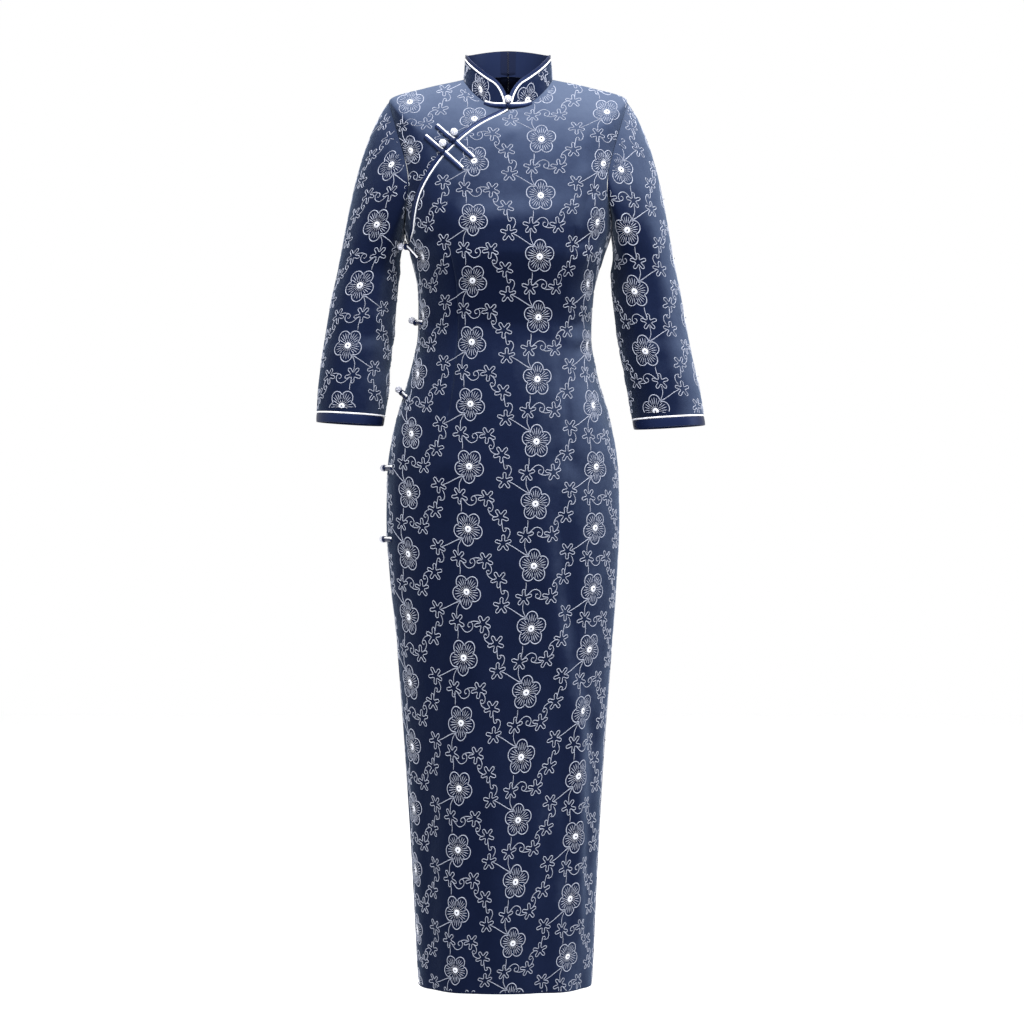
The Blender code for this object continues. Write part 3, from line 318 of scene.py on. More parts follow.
# Domed section of a satin band: share of its width, and how far out.
OPENING_BAND = ((0, -0.9), (0.06, -0.35), (0.2, 0.0), (0.5, 0.15), (0.8, 0.0), (0.94, -0.35), (1.0, -0.9))
CUFF_DOME = ((0, -0.7), (0.05, -0.25), (0.2, 0.0), (0.5, 0.1), (0.8, 0.0), (0.95, -0.25), (1.0, -0.7))
OPENING_CORD_SUNK = 0.7  # its middle below the velvet's face
CUFF_CORD_SUNK = 0.5
BAND_UNDER = 0.3  # how far a band reaches under its cord
OPENING_BAND_SUNK = 0.4
LEG_DENSE = 19
# A frog's leg: its satin fold below the middle line, the cord above it, and the cord's thick tip.
LEG_SATIN = {"below": 0.9, "half_width": 2.7, "sides": 12}
LEG_CORD = {"from": 2.5, "above": 2.35, "out": 0.25, "radius": 1.25}
LEG_TIP = {"reach": (-2.2, 0.4), "above": 1.9, "half_size": (1.75, 1.35)}
KNOT_RADIUS = 2.6
SIDE_KNOT_RADIUS = 3.9
KNOT_OUT = 1.0  # its middle above the legs' middle lines
NECK_FROG_DROP = 4.5  # how much lower up the collar its legs end
BEAD_STONES = 96
STONE_RADIUS = 0.82
STONE_RINGS = ((0.0, 1.0), (0.55, 0.6))  # a stone's girdle and table: height and size beside its radius
STONE_DEPTH = 0.55  # the setting's ball lies this far inside the bead's radius
STONE_SUNK = 0.1
BALL_RINGS = 10
BALL_SPOKES = 16
KNOT_TILTS = (0.0, 1.05, 2.1)  # a knot's three turns of cord, in radians
KNOT_RISE = 0.8  # how far each turn stands up and leans over, beside its radius
KNOT_SLANT = 0.45
KNOT_CORD = (1.3, 1.1)  # its half width and half height
KNOT_CORD_SIDES = 8
TAPE_ACROSS = (0.1, 0.35, 1.5, 3.5, 6.0, 8.5, 10.2, 10.8, 11.0)
TOOTH_PITCH = 1.6
TOOTH_LEVELS = ((-0.2, 0.8), (0.9, 0.8))  # above the tape, and how long the tooth is there
TOOTH_CORNERS = ((-0.5, -0.4), (1.5, -0.4), (1.5, 0.4), (-0.5, 0.4))
BOX_FACES = ((0, 1, 2, 3), (7, 6, 5, 4), (0, 4, 5, 1), (1, 5, 6, 2), (2, 6, 7, 3), (3, 7, 4, 0))

# Embroidery, charted flat: p to the viewer's right and q down, from the middle of a flower of the
# upright kind, whose lowest petal points down.
COLUMN_PITCH = 95
ROW_PITCH = 88.2
NEXT_COLUMN_DOWN = 53.1
CHART_SIZE = 0.98
REPEAT_RIGHT, REPEAT_LEFT, REPEAT_TALL = 100, 60, 130  # how far one repeat reaches from its flower, amply
# How the chart lies on the front, by height: how far sideways and how far down it has crept, by how much of
# itself it is narrower, and how far each column to the right or to the left of the anchored one rises.
CREEP_COLUMNS = ("z", "sideways", "down", "narrowing", "right_rise", "left_rise")
CREEP = (
    (-60, 7, -3, 0, 0, 0),
    (-480, 0, 0, 0, 0, 11),
    (-760, -6, 2, 0.005, 2, 18),
    (-850, -11, 9, 0.02, 6, 18),
    (-930, -14, 13, 0.06, 8, 18),
    (-1020, -17, 18, 0.09, 8, 18),
    (-1110, -19, 18, 0.10, 9, 18),
    (-1200, -21, 20, 0.13, 9, 18),
    (-1318, -24, 9, 0.135, 9, 18),
)
NET_STEP = 2.0
SLEEVE_REACH = 190.0  # how far round from a sleeve's outer line its net goes
SHOULDER_ABOVE = 70  # the charts go on this far above the neckline's middle
SHOULDER_SLANT = 1.1
CHART_ABOVE = 60
STITCH_STEP = 2.7
STAR_STEP = 1.9
CURL_STEP = 2.4
STITCH_RISE = 0.6
STITCH_SUNK = 0.15
BUTTON_TOP = 0.62  # a padded disc's flatter top beside its radius
BUTTON_CROWN = 1.15
PETAL_OUT = 13.8
PETAL_RADIUS = 9.0
PETAL_TURN = 100  # degrees to each side of the petal's tip
PETAL_WIDTH = 1.55
PETAL_LINES = 5
PETAL_LINE_SPREAD = 26
PETAL_LINE_FROM = 9.5
PETAL_LINE_TO = (16.5, 18.5, 19.2, 18.5, 16.5)
PETAL_LINE_WIDTH = 1.15
PETAL_LINE_RISE = 0.45
HEART_SPOKES = 17
HEART_RING = (4.9, 9.0)
HEART_SPOKE_WIDTH = 1.15
HEART_SPOKE_RISE = 0.4
# Threads, by their place in THREADS.
PLAIN, BRIGHT, DARK = 0, 1, 2
# The heart's disc and its eye: radius, thread, height, and corners.
HEART_BUTTONS = ((4.9, BRIGHT, 0.9, 12), (1.75, DARK, 1.75, 8))
FLOWER_SHAPE = (0.94, 1.07)  # its width and height beside a round one's
# A star's outline, arm by arm: how far out and how far to the side of the arm's middle.
STAR_ARM = ((6.6, -2.1), (9.6, -2.3), (11.9, -1.1), (11.9, 1.1), (9.6, 2.3), (6.6, 2.1))
STAR_NOTCH = 3.9
STAR_WIDTH = 1.25
STEM_WIDTH = 1.12
CURL_WIDTH = 1.22
# Stems and curls: each a smooth line through these places.
STEMS = (
    ((-6.6, 19.6), (-9.2, 15.6), (-14, 17.6), (-21.5, 21.8), (-31.5, 28.5), (-34.5, 30)),
    ((-9.2, 15.6), (-13.9, 26.3), (-13.9, 35.2), (-13.5, 38)),
    ((-13.2, 51), (-10.8, 55.3), (-10.2, 62), (-10.5, 66.5)),
    ((56.8, 111.2), (67.9, 117.3), (79.1, 124.6), (84.7, 128.5)),
)
CURLS = (
    ((-9.2, 46.4), (-5.8, 50.3), (-0.8, 54.7), (4.2, 55.9), (9.8, 53.1), (11.5, 48), (9.8, 43.6), (6.5, 42.5),
     (3.7, 45.3), (4.8, 49.2), (7.8, 48.6)),
    ((7, 42.5), (12, 41.3), (17.7, 41.9), (20.5, 43)),
    ((29.9, 48.6), (34.4, 54.2), (35.8, 59.8), (33.3, 64.8), (29.4, 64.2), (28.3, 60.9), (30.8, 59.2),
     (32.7, 61.1)),
    ((28.8, 63.1), (31.1, 68.2), (36.6, 72.1), (41, 73.4)),
    ((48.9, 79.9), (49.5, 85.5), (51.2, 93.3), (54.5, 93.9), (55.6, 90.5), (52.9, 89.4)),
    ((53.4, 88.8), (59, 89.9), (61.2, 95.5), (59.6, 101.1), (57.3, 104.4)),
)
STARS = ((-13.4, 44.1, 0.0), (26, 45.3, 0.1), (46.9, 73.0, 0.05), (51.5, 111.0, 0.5))
# Where each panel's chart is anchored: an upright flower's arc and height.
FRONT_FLOWER = (-53.5, -477.6)
UNDERLAP_FLOWER = (-55.0, -70.8)
UNDERLAP_SHOWS_TO = -252  # its embroidery ends here, under the front
BACK_FLOWER = (47.5, -520.0)
SLEEVE_FLOWERS = {"right": (70.0, -304.5), "left": (-7.0, -261.0)}
# How far a sleeve's chart has crept round towards the body, by height.
SLEEVE_CREEP = {
    "right": ((-60, 17), (-130, 15), (-215, 15), (-300, 4), (-390, 1), (-500, -1)),
    "left": ((-60, -12), (-130, -10), (-215, -1), (-300, 0), (-500, 0)),
}
COLLAR_FLOWERS = {"right": (43.0, -13.0), "left": (25.0, -6.0)}

# Velvet colour with painted light and painted shade, by how far the cloth faces the way given below (up, and
# a little towards the wearer's left at +x): painted shade where it faces level or down, painted light where
# it faces up. Each row: how far it faces that way, and its colour.
PAINTED_LIGHT_WAY = (0.31, 0.0, 1.0)
PAINTED_LIGHT_RANGE = (-0.3, 0.9)
PAINTED_LIGHT_SHADES = (
    (-0.15, (0.0034, 0.0060, 0.0205)),
    (0.08, (0.0060, 0.0100, 0.0300)),
    (0.38, (0.0300, 0.0420, 0.0800)),
    (0.72, (0.0620, 0.0800, 0.1280)),
)
PATCH_SHIFT = 0.21
# The collar's way of painted light: weaker, so the collar velvet stays in painted shade.
COLLAR_PAINTED_LIGHT_WAY = (0.1, 0.0, 0.2)
VELVET_SHEEN = (0.10, 0.13, 0.18)
WORLD_LIGHT = 1.0
# The room, in metres and watts; the camera looks level, straight at the front.
FLOOR_Z = -1.42
FLOOR_HALF = 6.0
LIGHT_COLUMNS = ("name", "place", "target", "size", "power")
LIGHTS = (
    ("overhead", (0.1, -0.9, 1.3), (0, 0, -0.1), (1.4, 0.8), 70),
    ("side_left", (-2.2, -0.9, -0.2), (0, 0, -0.6), (0.8, 2.0), 5),
    ("side_right", (2.2, -0.35, -0.2), (0, 0, -0.6), (0.8, 2.0), 26),
    ("behind", (0.3, 2.4, 0.5), (0, 0, -0.5), (1.2, 1.6), 22),
)
CAMERA_PLACE = (0.0058, -3.6, -0.6307)
CAMERA_LENS = 86.7


# ---------------------------------------------------------------- curves and the body form

def monotone(xs, ys, x):
    """A smooth curve through (xs, ys) that never overshoots them (Fritsch-Carlson); xs rise."""
    xs, ys = np.asarray(xs, float), np.asarray(ys, float)
    steps, slopes = np.diff(xs), np.diff(ys) / np.diff(xs)
    tangents = np.empty(len(xs))
    tangents[0], tangents[-1] = slopes[0], slopes[-1]
    product = slopes[:-1] * slopes[1:]
    weighted = 3 * (steps[:-1] + steps[1:]) / (
        (2 * steps[1:] + steps[:-1]) / np.where(product > 0, slopes[:-1], 1)
        + (steps[1:] + 2 * steps[:-1]) / np.where(product > 0, slopes[1:], 1)
    )
    tangents[1:-1] = np.where(product > 0, weighted, 0)
    x = np.clip(np.asarray(x, float), xs[0], xs[-1])
    i = np.clip(np.searchsorted(xs, x, side="right") - 1, 0, len(xs) - 2)
    h = steps[i]
    t = (x - xs[i]) / h
    return (
        ys[i] * (1 + 2 * t) * (1 - t) ** 2
        + h * tangents[i] * t * (1 - t) ** 2
        + ys[i + 1] * t * t * (3 - 2 * t)
        + h * tangents[i + 1] * t * t * (t - 1)
    )


def smooth(edge0, edge1, x):
    """0 at edge0 and 1 at edge1, with a smooth step between them."""
    t = np.clip((np.asarray(x, float) - edge0) / (edge1 - edge0), 0, 1)
    return t * t * (3 - 2 * t)


def unit(vectors):
    """The vectors, each with length 1."""
    return vectors / np.linalg.norm(vectors, axis=-1, keepdims=True)


def lengths_along(line):
    """The length of a line of points up to each of them."""
    return np.concatenate(([0], np.cumsum(np.linalg.norm(np.diff(line, axis=0), axis=1))))


def named(columns, rows):
    """The rows of a table, each with its values under the table's column names."""
    return [SimpleNamespace(**dict(zip(columns, row))) for row in rows]


def ring_column(name):
    """One column of RINGS."""
    return np.array([row[RING_COLUMNS.index(name)] for row in RINGS], float)


RING_STEPS = np.hypot(np.diff(ring_column("side_z")), np.diff(ring_column("half_width")))
RING_DOWN = np.concatenate(([0], np.cumsum(RING_STEPS)))
RING_NAMES = [row[0] for row in RINGS]
DOWN_SHOULDER, DOWN_UNDERARM, DOWN_HEM = (
    RING_DOWN[RING_NAMES.index(name)] for name in ("shoulder_point", "underarm", "hem")
)
UNDERARM_Z, HEM_Z = (ring_column("side_z")[RING_NAMES.index(name)] for name in ("underarm", "hem"))


def down_at(z):
    """How far down the side of the form a height is."""
    return float(np.interp(-z, -ring_column("side_z"), RING_DOWN))


def fold_height(around, z):
    """How far the skirt's folds stand out there."""
    height = np.zeros(np.shape(z))
    for fold in named(FOLD_COLUMNS, FOLDS):
        along = np.clip((z - fold.top_z) / (fold.bottom_z - fold.top_z), 0, 1)
        middle = fold.top_around + (fold.bottom_around - fold.top_around) * along
        across = (around - middle) * math.radians(1) * FOLD_RADIUS
        grown = fold.height * smooth(0, FOLD_GROWS, along)
        height = height + grown * np.exp(-((across / fold.half_width) ** 2) * 2)
    return height


def form(down, around):
    """Points of the plain body form, in millimetres, before its folds."""
    down, around = np.broadcast_arrays(np.asarray(down, float), np.asarray(around, float))
    size = {name: monotone(RING_DOWN, ring_column(name), down) for name in RING_COLUMNS[1:]}
    cosine, sine = np.cos(np.radians(around)), np.sin(np.radians(around))
    front = sine >= 0
    power = np.where(front, size["front_power"], size["back_power"])
    depth = np.where(front, -size["front"], size["back"])
    middle_z = np.where(front, size["front_z"], size["back_z"])
    x = size["centre_x"] + size["half_width"] * np.sign(cosine) * np.abs(cosine) ** (2 / power)
    y = depth * np.abs(sine) ** (2 / power)
    z = size["side_z"] + (middle_z - size["side_z"]) * np.abs(sine) ** DIP_POWER
    return np.stack([x, y, z], -1)


def form_normal(down, around):
    """The way out of the plain form there."""
    down, around = np.broadcast_arrays(np.asarray(down, float), np.asarray(around, float))
    low, high = np.clip(down - 1, 0, DOWN_HEM), np.clip(down + 1, 0, DOWN_HEM)
    along = form(high, around) - form(low, around)
    across = form(down, around + 0.7) - form(down, around - 0.7)
    return unit(np.cross(across, along))


def cloth(down, around, lift=0.0):
    """Points and outward normals of the cloth: the form with its folds, moved out by lift."""
    points, normals = form(down, around), form_normal(down, around)
    rise = fold_height(np.mod(around, 360), points[..., 2]) + lift
    return points + normals * np.asarray(rise)[..., None], normals


def arc_shift(down, around, distance):
    """The angle that lies distance further on (or back, if negative) along the ring at down."""
    fine = np.linspace(around, around + (90 if distance > 0 else -90), 181)
    points = form(down, fine)
    length = lengths_along(points)
    return float(np.interp(abs(distance), length, fine))


# ---------------------------------------------------------------- the panels' edges

def armhole_inset(down, widest):
    """Degrees in from the side of an armhole's edge."""
    t = np.clip((down - DOWN_SHOULDER) / (DOWN_UNDERARM - DOWN_SHOULDER), 0, 1)
    return widest * np.sin(math.pi * t) ** ARMHOLE_POWER if 0 < t < 1 else 0.0


def opening_across(z):
    """The x of the opening's edge at each height."""
    places = named(OPENING_COLUMNS, OPENING)
    return -monotone([-place.z for place in places], [place.across for place in places], -z)


def crossing(down):
    """Where the ring at down crosses the opening's edge."""
    fine = np.linspace(90, 180, 721)
    points = form(down, fine)
    beyond = points[:, 0] - opening_across(points[:, 2])
    last = np.nonzero(beyond > 0)[0]
    if not len(last):
        return 90.0
    i = min(last[-1], len(fine) - 2)
    return float(np.interp(0, [-beyond[i], -beyond[i + 1]], [fine[i], fine[i + 1]]))


def arc_between(down, start, end):
    """The length along a ring between two angles."""
    points = form(down, np.linspace(start, end, 181))
    return float(np.sum(np.linalg.norm(np.diff(points, axis=0), axis=1)))


def opening_around(down):
    """The angle of the front's right edge: along the opening, under the arm, then down the closed side."""
    z = float(form(down, 180)[2])
    if down <= DOWN_UNDERARM:
        return crossing(down)
    under_arm = arc_between(DOWN_UNDERARM, crossing(DOWN_UNDERARM), 180)
    round_arm = float(smooth(UNDERARM_Z, CLOSURE_START, z))
    closed = CLOSURE_IN * float(smooth(CLOSURE_END - CLOSURE_BLEND, CLOSURE_END, z))
    distance = under_arm + (max(closed, SEAM / 2) - under_arm) * round_arm
    return arc_shift(down, 180, -distance)


def slit_step(z, at_hem):
    """How far an edge has drawn back along a slit, at_hem at the hem."""
    return at_hem * float(smooth(SLIT_TOP, HEM_Z, z))


def side_inset(down, at_hem):
    """A side edge's distance from its seam's line."""
    z = float(form(down, 0)[2])
    return SEAM / 2 + slit_step(z, at_hem)


def front_edges(down):
    """The front's left and right edges on a ring, as angles."""
    left = armhole_inset(down, FRONT_ARMHOLE)
    right = opening_around(down)
    return left, right


def front_insets(down):
    """How far inside those angles the cloth ends, left and right."""
    if down <= DOWN_SHOULDER:
        return SEAM / 2, 0.0
    if down < DOWN_UNDERARM:
        return 0.0, 0.0
    near = side_inset(down, SLIT_GAP)
    z = float(form(down, 180)[2])
    return near, slit_step(z, SLIT_GAP)


def front_lift(down, around):
    """The front rises over the underlap: full next to the opening's edge, falling away further in."""
    edge = opening_around(down)
    points = form(down, np.linspace(edge, edge - 70, 141))
    length = lengths_along(points)
    distance = np.interp(edge - around, np.linspace(0, 70, 141), length)
    reach = underlap_width(down) + 6
    z = float(form(down, 180)[2])
    end = float(smooth(CLOSURE_END - 2 * CLOSURE_BLEND, CLOSURE_END - CLOSURE_BLEND * 0.8, z))
    start = float(smooth(0, UNDERLAP_START[0] - 2, down))
    return LIFT * (1 - smooth(reach, reach + LIFT_BLEND, distance)) * end * start


def underlap_width(down):
    """How far the underlap reaches beyond the opening's edge, under the front."""
    return (UNDERLAP_WIDTH + SEAM) * float(smooth(*UNDERLAP_START, down)) - SEAM


# ---------------------------------------------------------------- meshes

def outward_faces(points, faces):
    """The faces, turned round if together they enclose a negative volume."""
    corners = points[faces]
    areas = np.cross(corners[:, 0] - corners[:, 2], corners[:, 1] - corners[:, 3])
    volume = np.sum(areas * corners.mean(1))
    return faces if volume > 0 else faces[:, ::-1]


def make_mesh(name, points, faces, materials, body="dress", slots=None, sharp=40):
    """A shown piece from points in millimetres; slots gives each face's place in materials."""
    mesh = bpy.data.meshes.new(name)
    mesh.from_pydata((points * MM).tolist(), [], faces.tolist() if isinstance(faces, np.ndarray) else faces)
    for material in materials:
        mesh.materials.append(material)
    if slots is not None:
        mesh.polygons.foreach_set("material_index", np.asarray(slots, np.int32))
    mesh.shade_smooth()
    mesh.set_sharp_from_angle(angle=math.radians(sharp))
    mesh.update()
    made = bpy.data.objects.new(name, mesh)
    bpy.context.collection.objects.link(made)
    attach(made, body)
    return made


def shell(name, outer, inner, materials, closed=False):
    """A closed wall between two grids of points; its inner side and rims take the last material."""
    rows, columns = outer.shape[:2]
    spans = columns if closed else columns - 1
    index = np.arange(rows * columns).reshape(rows, columns)
    i, j = np.meshgrid(np.arange(rows - 1), np.arange(spans), indexing="ij")
    k = (j + 1) % columns
    out = np.stack([index[i, j], index[i, k], index[i + 1, k], index[i + 1, j]], -1).reshape(-1, 4)
    back = out[:, ::-1] + rows * columns
    rims = []
    for row, step in ((0, 1), (rows - 1, -1)):
        a = index[row, np.arange(spans)][::step]
        b = index[row, (np.arange(spans) + 1) % columns][::step]
        if step < 0:
            a, b = b, a
            rims.append(np.stack([a, b, b + rows * columns, a + rows * columns], -1)[:, ::-1])
        else:
            rims.append(np.stack([b, a, a + rows * columns, b + rows * columns], -1))
    if not closed:
        a, b = index[:-1, 0], index[1:, 0]
        rims.append(np.stack([a, b, b + rows * columns, a + rows * columns], -1))
        a, b = index[:-1, -1], index[1:, -1]
        rims.append(np.stack([b, a, a + rows * columns, b + rows * columns], -1))
    faces = np.vstack([out, back, *rims])
    points = np.vstack([outer.reshape(-1, 3), inner.reshape(-1, 3)])
    faces = outward_faces(points, faces)
    slots = np.full(len(faces), len(materials) - 1)
    slots[: len(out)] = 0
    return make_mesh(name, points, faces, materials, slots=slots)


def tube_rings(path, ups, half_width, half_height, sides, closed=False):
    """Points of a bar swept along path, with rounded section; ups gives the way of its height."""
    along = np.roll(path, -1, 0) - np.roll(path, 1, 0) if closed else np.gradient(path, axis=0)
    along = unit(along)
    across = unit(np.cross(along, ups))
    ups = unit(np.cross(across, along))
    turn = np.arange(sides) * 2 * math.pi / sides
    widths = np.broadcast_to(np.asarray(half_width, float), len(path))[:, None, None]
    heights = np.broadcast_to(np.asarray(half_height, float), len(path))[:, None, None]
    sideways = across[:, None] * widths * np.cos(turn)[None, :, None]
    upwards = ups[:, None] * heights * np.sin(turn)[None, :, None]
    return path[:, None] + (sideways + upwards)


def tube_faces(count, sides, closed=False):
    """Quads between the rings of a bar."""
    spans = count if closed else count - 1
    i, j = np.meshgrid(np.arange(spans), np.arange(sides), indexing="ij")
    k, n = (j + 1) % sides, (i + 1) % count
    return np.stack([i * sides + j, i * sides + k, n * sides + k, n * sides + j], -1).reshape(-1, 4).tolist()


def domed(path, ups, widths, heights):
    """A bar with a small rounded end added at its start."""
    way = unit(path[0] - path[1])
    for out, size in DOME_STEPS:
        reach = min(widths[0], heights[0])
        path = np.vstack([path[:1] + way * reach * out, path])
        ups = np.vstack([ups[:1], ups])
        widths = np.append(widths[0] * size, widths)
        heights = np.append(heights[0] * size, heights)
    return path, ups, widths, heights


def tube(name, path, ups, half_width, half_height, sides, material, closed=False):
    """A swept bar; open ones get small domed ends."""
    path, ups = np.asarray(path, float), unit(np.asarray(ups, float))
    widths = np.broadcast_to(np.asarray(half_width, float), len(path)).copy()
    heights = np.broadcast_to(np.asarray(half_height, float), len(path)).copy()
    if not closed:
        from_end = domed(*(part[::-1] for part in domed(path, ups, widths, heights)))
        path, ups, widths, heights = (part[::-1] for part in from_end)
    rings = tube_rings(path, ups, widths, heights, sides, closed)
    faces = tube_faces(len(path), sides, closed)
    if not closed:
        faces.append(list(range(sides))[::-1])
        faces.append([(len(path) - 1) * sides + k for k in range(sides)])
    return make_mesh(name, rings.reshape(-1, 3), faces, [material], sharp=60)


# ---------------------------------------------------------------- dense panels

def columns_along(total, cells, near_edge, lines=()):
    """Arc positions of a row's columns: close together at both edges and round each named line."""
    stops = [0.0, *[share * total for share in lines], total]
    places = [np.array(near_edge) * min(1.0, total / DENSE_FROM)]
    for count, (a, b) in zip(cells, zip(stops[:-1], stops[1:])):
        reach_a = near_edge[-1] if a == 0 else LINE_STEPS[-1]
        reach_b = near_edge[-1] if b == total else LINE_STEPS[-1]
        span = b - a
        squeeze = min(1.0, span / DENSE_FROM)
        inside = np.linspace(a + reach_a * squeeze, b - reach_b * squeeze, count + 1)[1:-1]
        places.append(inside)
        if b == total:
            places.append(total - np.array(near_edge[::-1]) * squeeze)
        else:
            steps = np.array(LINE_STEPS)
            places.append(b + np.concatenate((-steps[::-1], [0], steps)) * squeeze)
    row = np.concatenate(places)
    return np.maximum.accumulate(row)


def dense_panel(edges, rows, cells, insets, middle, lines=None, lift=None, relief=None):
    """A fine grid of the cloth between two edge angles, with the arc from the middle line at every point."""
    grid = SimpleNamespace(points=[], normals=[], arc=[])
    for down in rows:
        start, end = edges(down)
        near, far = insets(down)
        fine = np.linspace(start, end, 361)
        line = form(down, fine)
        length = lengths_along(line)
        total = length[-1] - near - far
        at = near + columns_along(total, cells, EDGE_STEPS, lines(down, fine, length) if lines else ())
        around = np.interp(at, length, fine)
        whole = np.linspace(middle - 100, middle + 100, 401)
        ring = form(down, whole)
        way = lengths_along(ring)
        arc = np.interp(middle, whole, way) - np.interp(around, whole, way)
        rise = lift(down, around) if lift else np.zeros(len(around))
        plain = form(down, around)
        edge_gap = np.minimum(at - near, total + near - at)
        rise = rise - EDGE_ROLL * (1 - smooth(0, EDGE_REACH, edge_gap))
        if relief:
            rise = rise + relief(arc, plain[:, 2])
        points, normals = cloth(down, around, rise)
        grid.points.append(points)
        grid.normals.append(normals)
        grid.arc.append(arc)
    grid.points, grid.normals, grid.arc = (np.array(part) for part in (grid.points, grid.normals, grid.arc))
    return grid


def soften_hem_corner(grid, side, reach):
    """Rounds one hem corner, drawing the lowest rows up towards it."""
    points = grid.points
    hem = points[-1] if side == "start" else points[-1][::-1]
    length = lengths_along(hem)
    missing = np.clip(1 - length / reach, 0, 1)
    raised = reach * (1 - np.sqrt(1 - missing**2)) * HEM_CORNER_RISE
    raised = raised if side == "start" else raised[::-1]
    height = points[..., 2] - points[-1, :, 2][None]
    points[..., 2] += raised[None] * (1 - smooth(0, reach * HEM_CORNER_BLEND, height))


def dense_rows():
    """Distances down the form of a panel's rows, closest together at the armhole's two ends."""
    yoke = np.linspace(0, DOWN_SHOULDER, YOKE_ROWS)
    turn = np.linspace(0, math.pi, ARMHOLE_ROWS + 1)[1:]
    armhole = DOWN_SHOULDER + (DOWN_UNDERARM - DOWN_SHOULDER) * (1 - np.cos(turn)) / 2
    body = np.linspace(DOWN_UNDERARM, DOWN_HEM, round((DOWN_HEM - DOWN_UNDERARM) / ROW_STEP))[1:]
    return np.concatenate((yoke, armhole, body))


def line_relief(table, arc, z):
    """Soft troughs and ridges along straight lines on the cloth, from a table of creases."""
    rise = np.zeros(np.broadcast(arc, z).shape)
    for row in named(CREASE_LINE_COLUMNS, table):
        a, b = np.array([row.arc_1, row.z_1], float), np.array([row.arc_2, row.z_2], float)
        length = np.linalg.norm(b - a)
        along = ((arc - a[0]) * (b - a)[0] + (z - a[1]) * (b - a)[1]) / length
        away = ((arc - a[0]) * (b - a)[1] - (z - a[1]) * (b - a)[0]) / length
        t = np.clip(along / length, 0, 1)
        bow = row.bow * np.sin(math.pi * t)
        ends = smooth(*CREASE_GROWS, along / length) * (1 - smooth(*CREASE_FADES, along / length))
        rise = rise + row.height * ends * np.exp(-(((away - bow) / row.half_width) ** 2))
    return rise


# ---------------------------------------------------------------- collar and sleeve surfaces

def collar_base():
    """The neckline by length from the centre front over the wearer's left to the centre back."""
    around = np.linspace(90, -90, 721)
    points = form(0, around)
    length = lengths_along(points)
    return around, length


BASE_AROUND, BASE_LENGTH = collar_base()
COLLAR_LENGTH = BASE_LENGTH[-1] - COLLAR_FRONT_GAP


def collar_point(along, height, inward=0.0):
    """Collar surface: along from the velvet's front end at the base, height up it, inward to the lining."""
    along, height = np.asarray(along, float), np.asarray(height, float)
    around = np.interp(along + COLLAR_FRONT_GAP, BASE_LENGTH, BASE_AROUND)
    low = form(0, around)
    edge_in = unit(form(0, around) - form(3, around))
    cosine, sine = np.cos(np.radians(around)), np.sin(np.radians(around))
    lean = np.radians(4 + 9 * np.clip(sine, 0, 1))
    flat = unit(np.stack([cosine, -sine, np.zeros_like(cosine)], -1))
    up = np.stack([-flat[..., 0] * np.sin(lean), -flat[..., 1] * np.sin(lean), np.cos(lean)], -1)
    tangent = unit(form(0, around - 0.7) - form(0, around + 0.7))
    out = unit(np.cross(up, tangent))
    out = np.where((np.sum(out * flat, -1) < 0)[..., None], -out, out)
    start = low + edge_in * 0.6 - up * (1.0 * np.abs(cosine))[..., None]
    return start + up * height[..., None] - out * (0.05 + inward)


def sleeve_section(side, z_row, phases):
    """One section of a sleeve, with phase 0 at its outer line."""
    sign = 1 if side == "left" else -1
    columns = np.array(SLEEVES[side], float).T
    centre_x, half_width, centre_y, half_depth = (
        float(monotone(-columns[0], column, -z_row)) for column in columns[1:]
    )
    across = half_width * np.cos(phases)
    x = sign * (centre_x + across)
    y = centre_y - half_depth * np.sin(phases)
    z = z_row + across * math.tan(math.radians(SLEEVE_TILT))
    return np.stack([x, y, z], -1)


def crease_height(points, phases):
    """How far a sleeve's creases and folds stand out there."""
    rise = np.zeros(points.shape[:-1])
    for crease in named(CREASE_COLUMNS, SLEEVE_CREASES):
        turn = (np.degrees(phases) - crease.around + 180) % 360 - 180
        below = (points[..., 2] - crease.z) / crease.half_height
        rise += crease.height * np.exp(-(below**2) - (turn / crease.half_span) ** 2 * 2)
    return rise


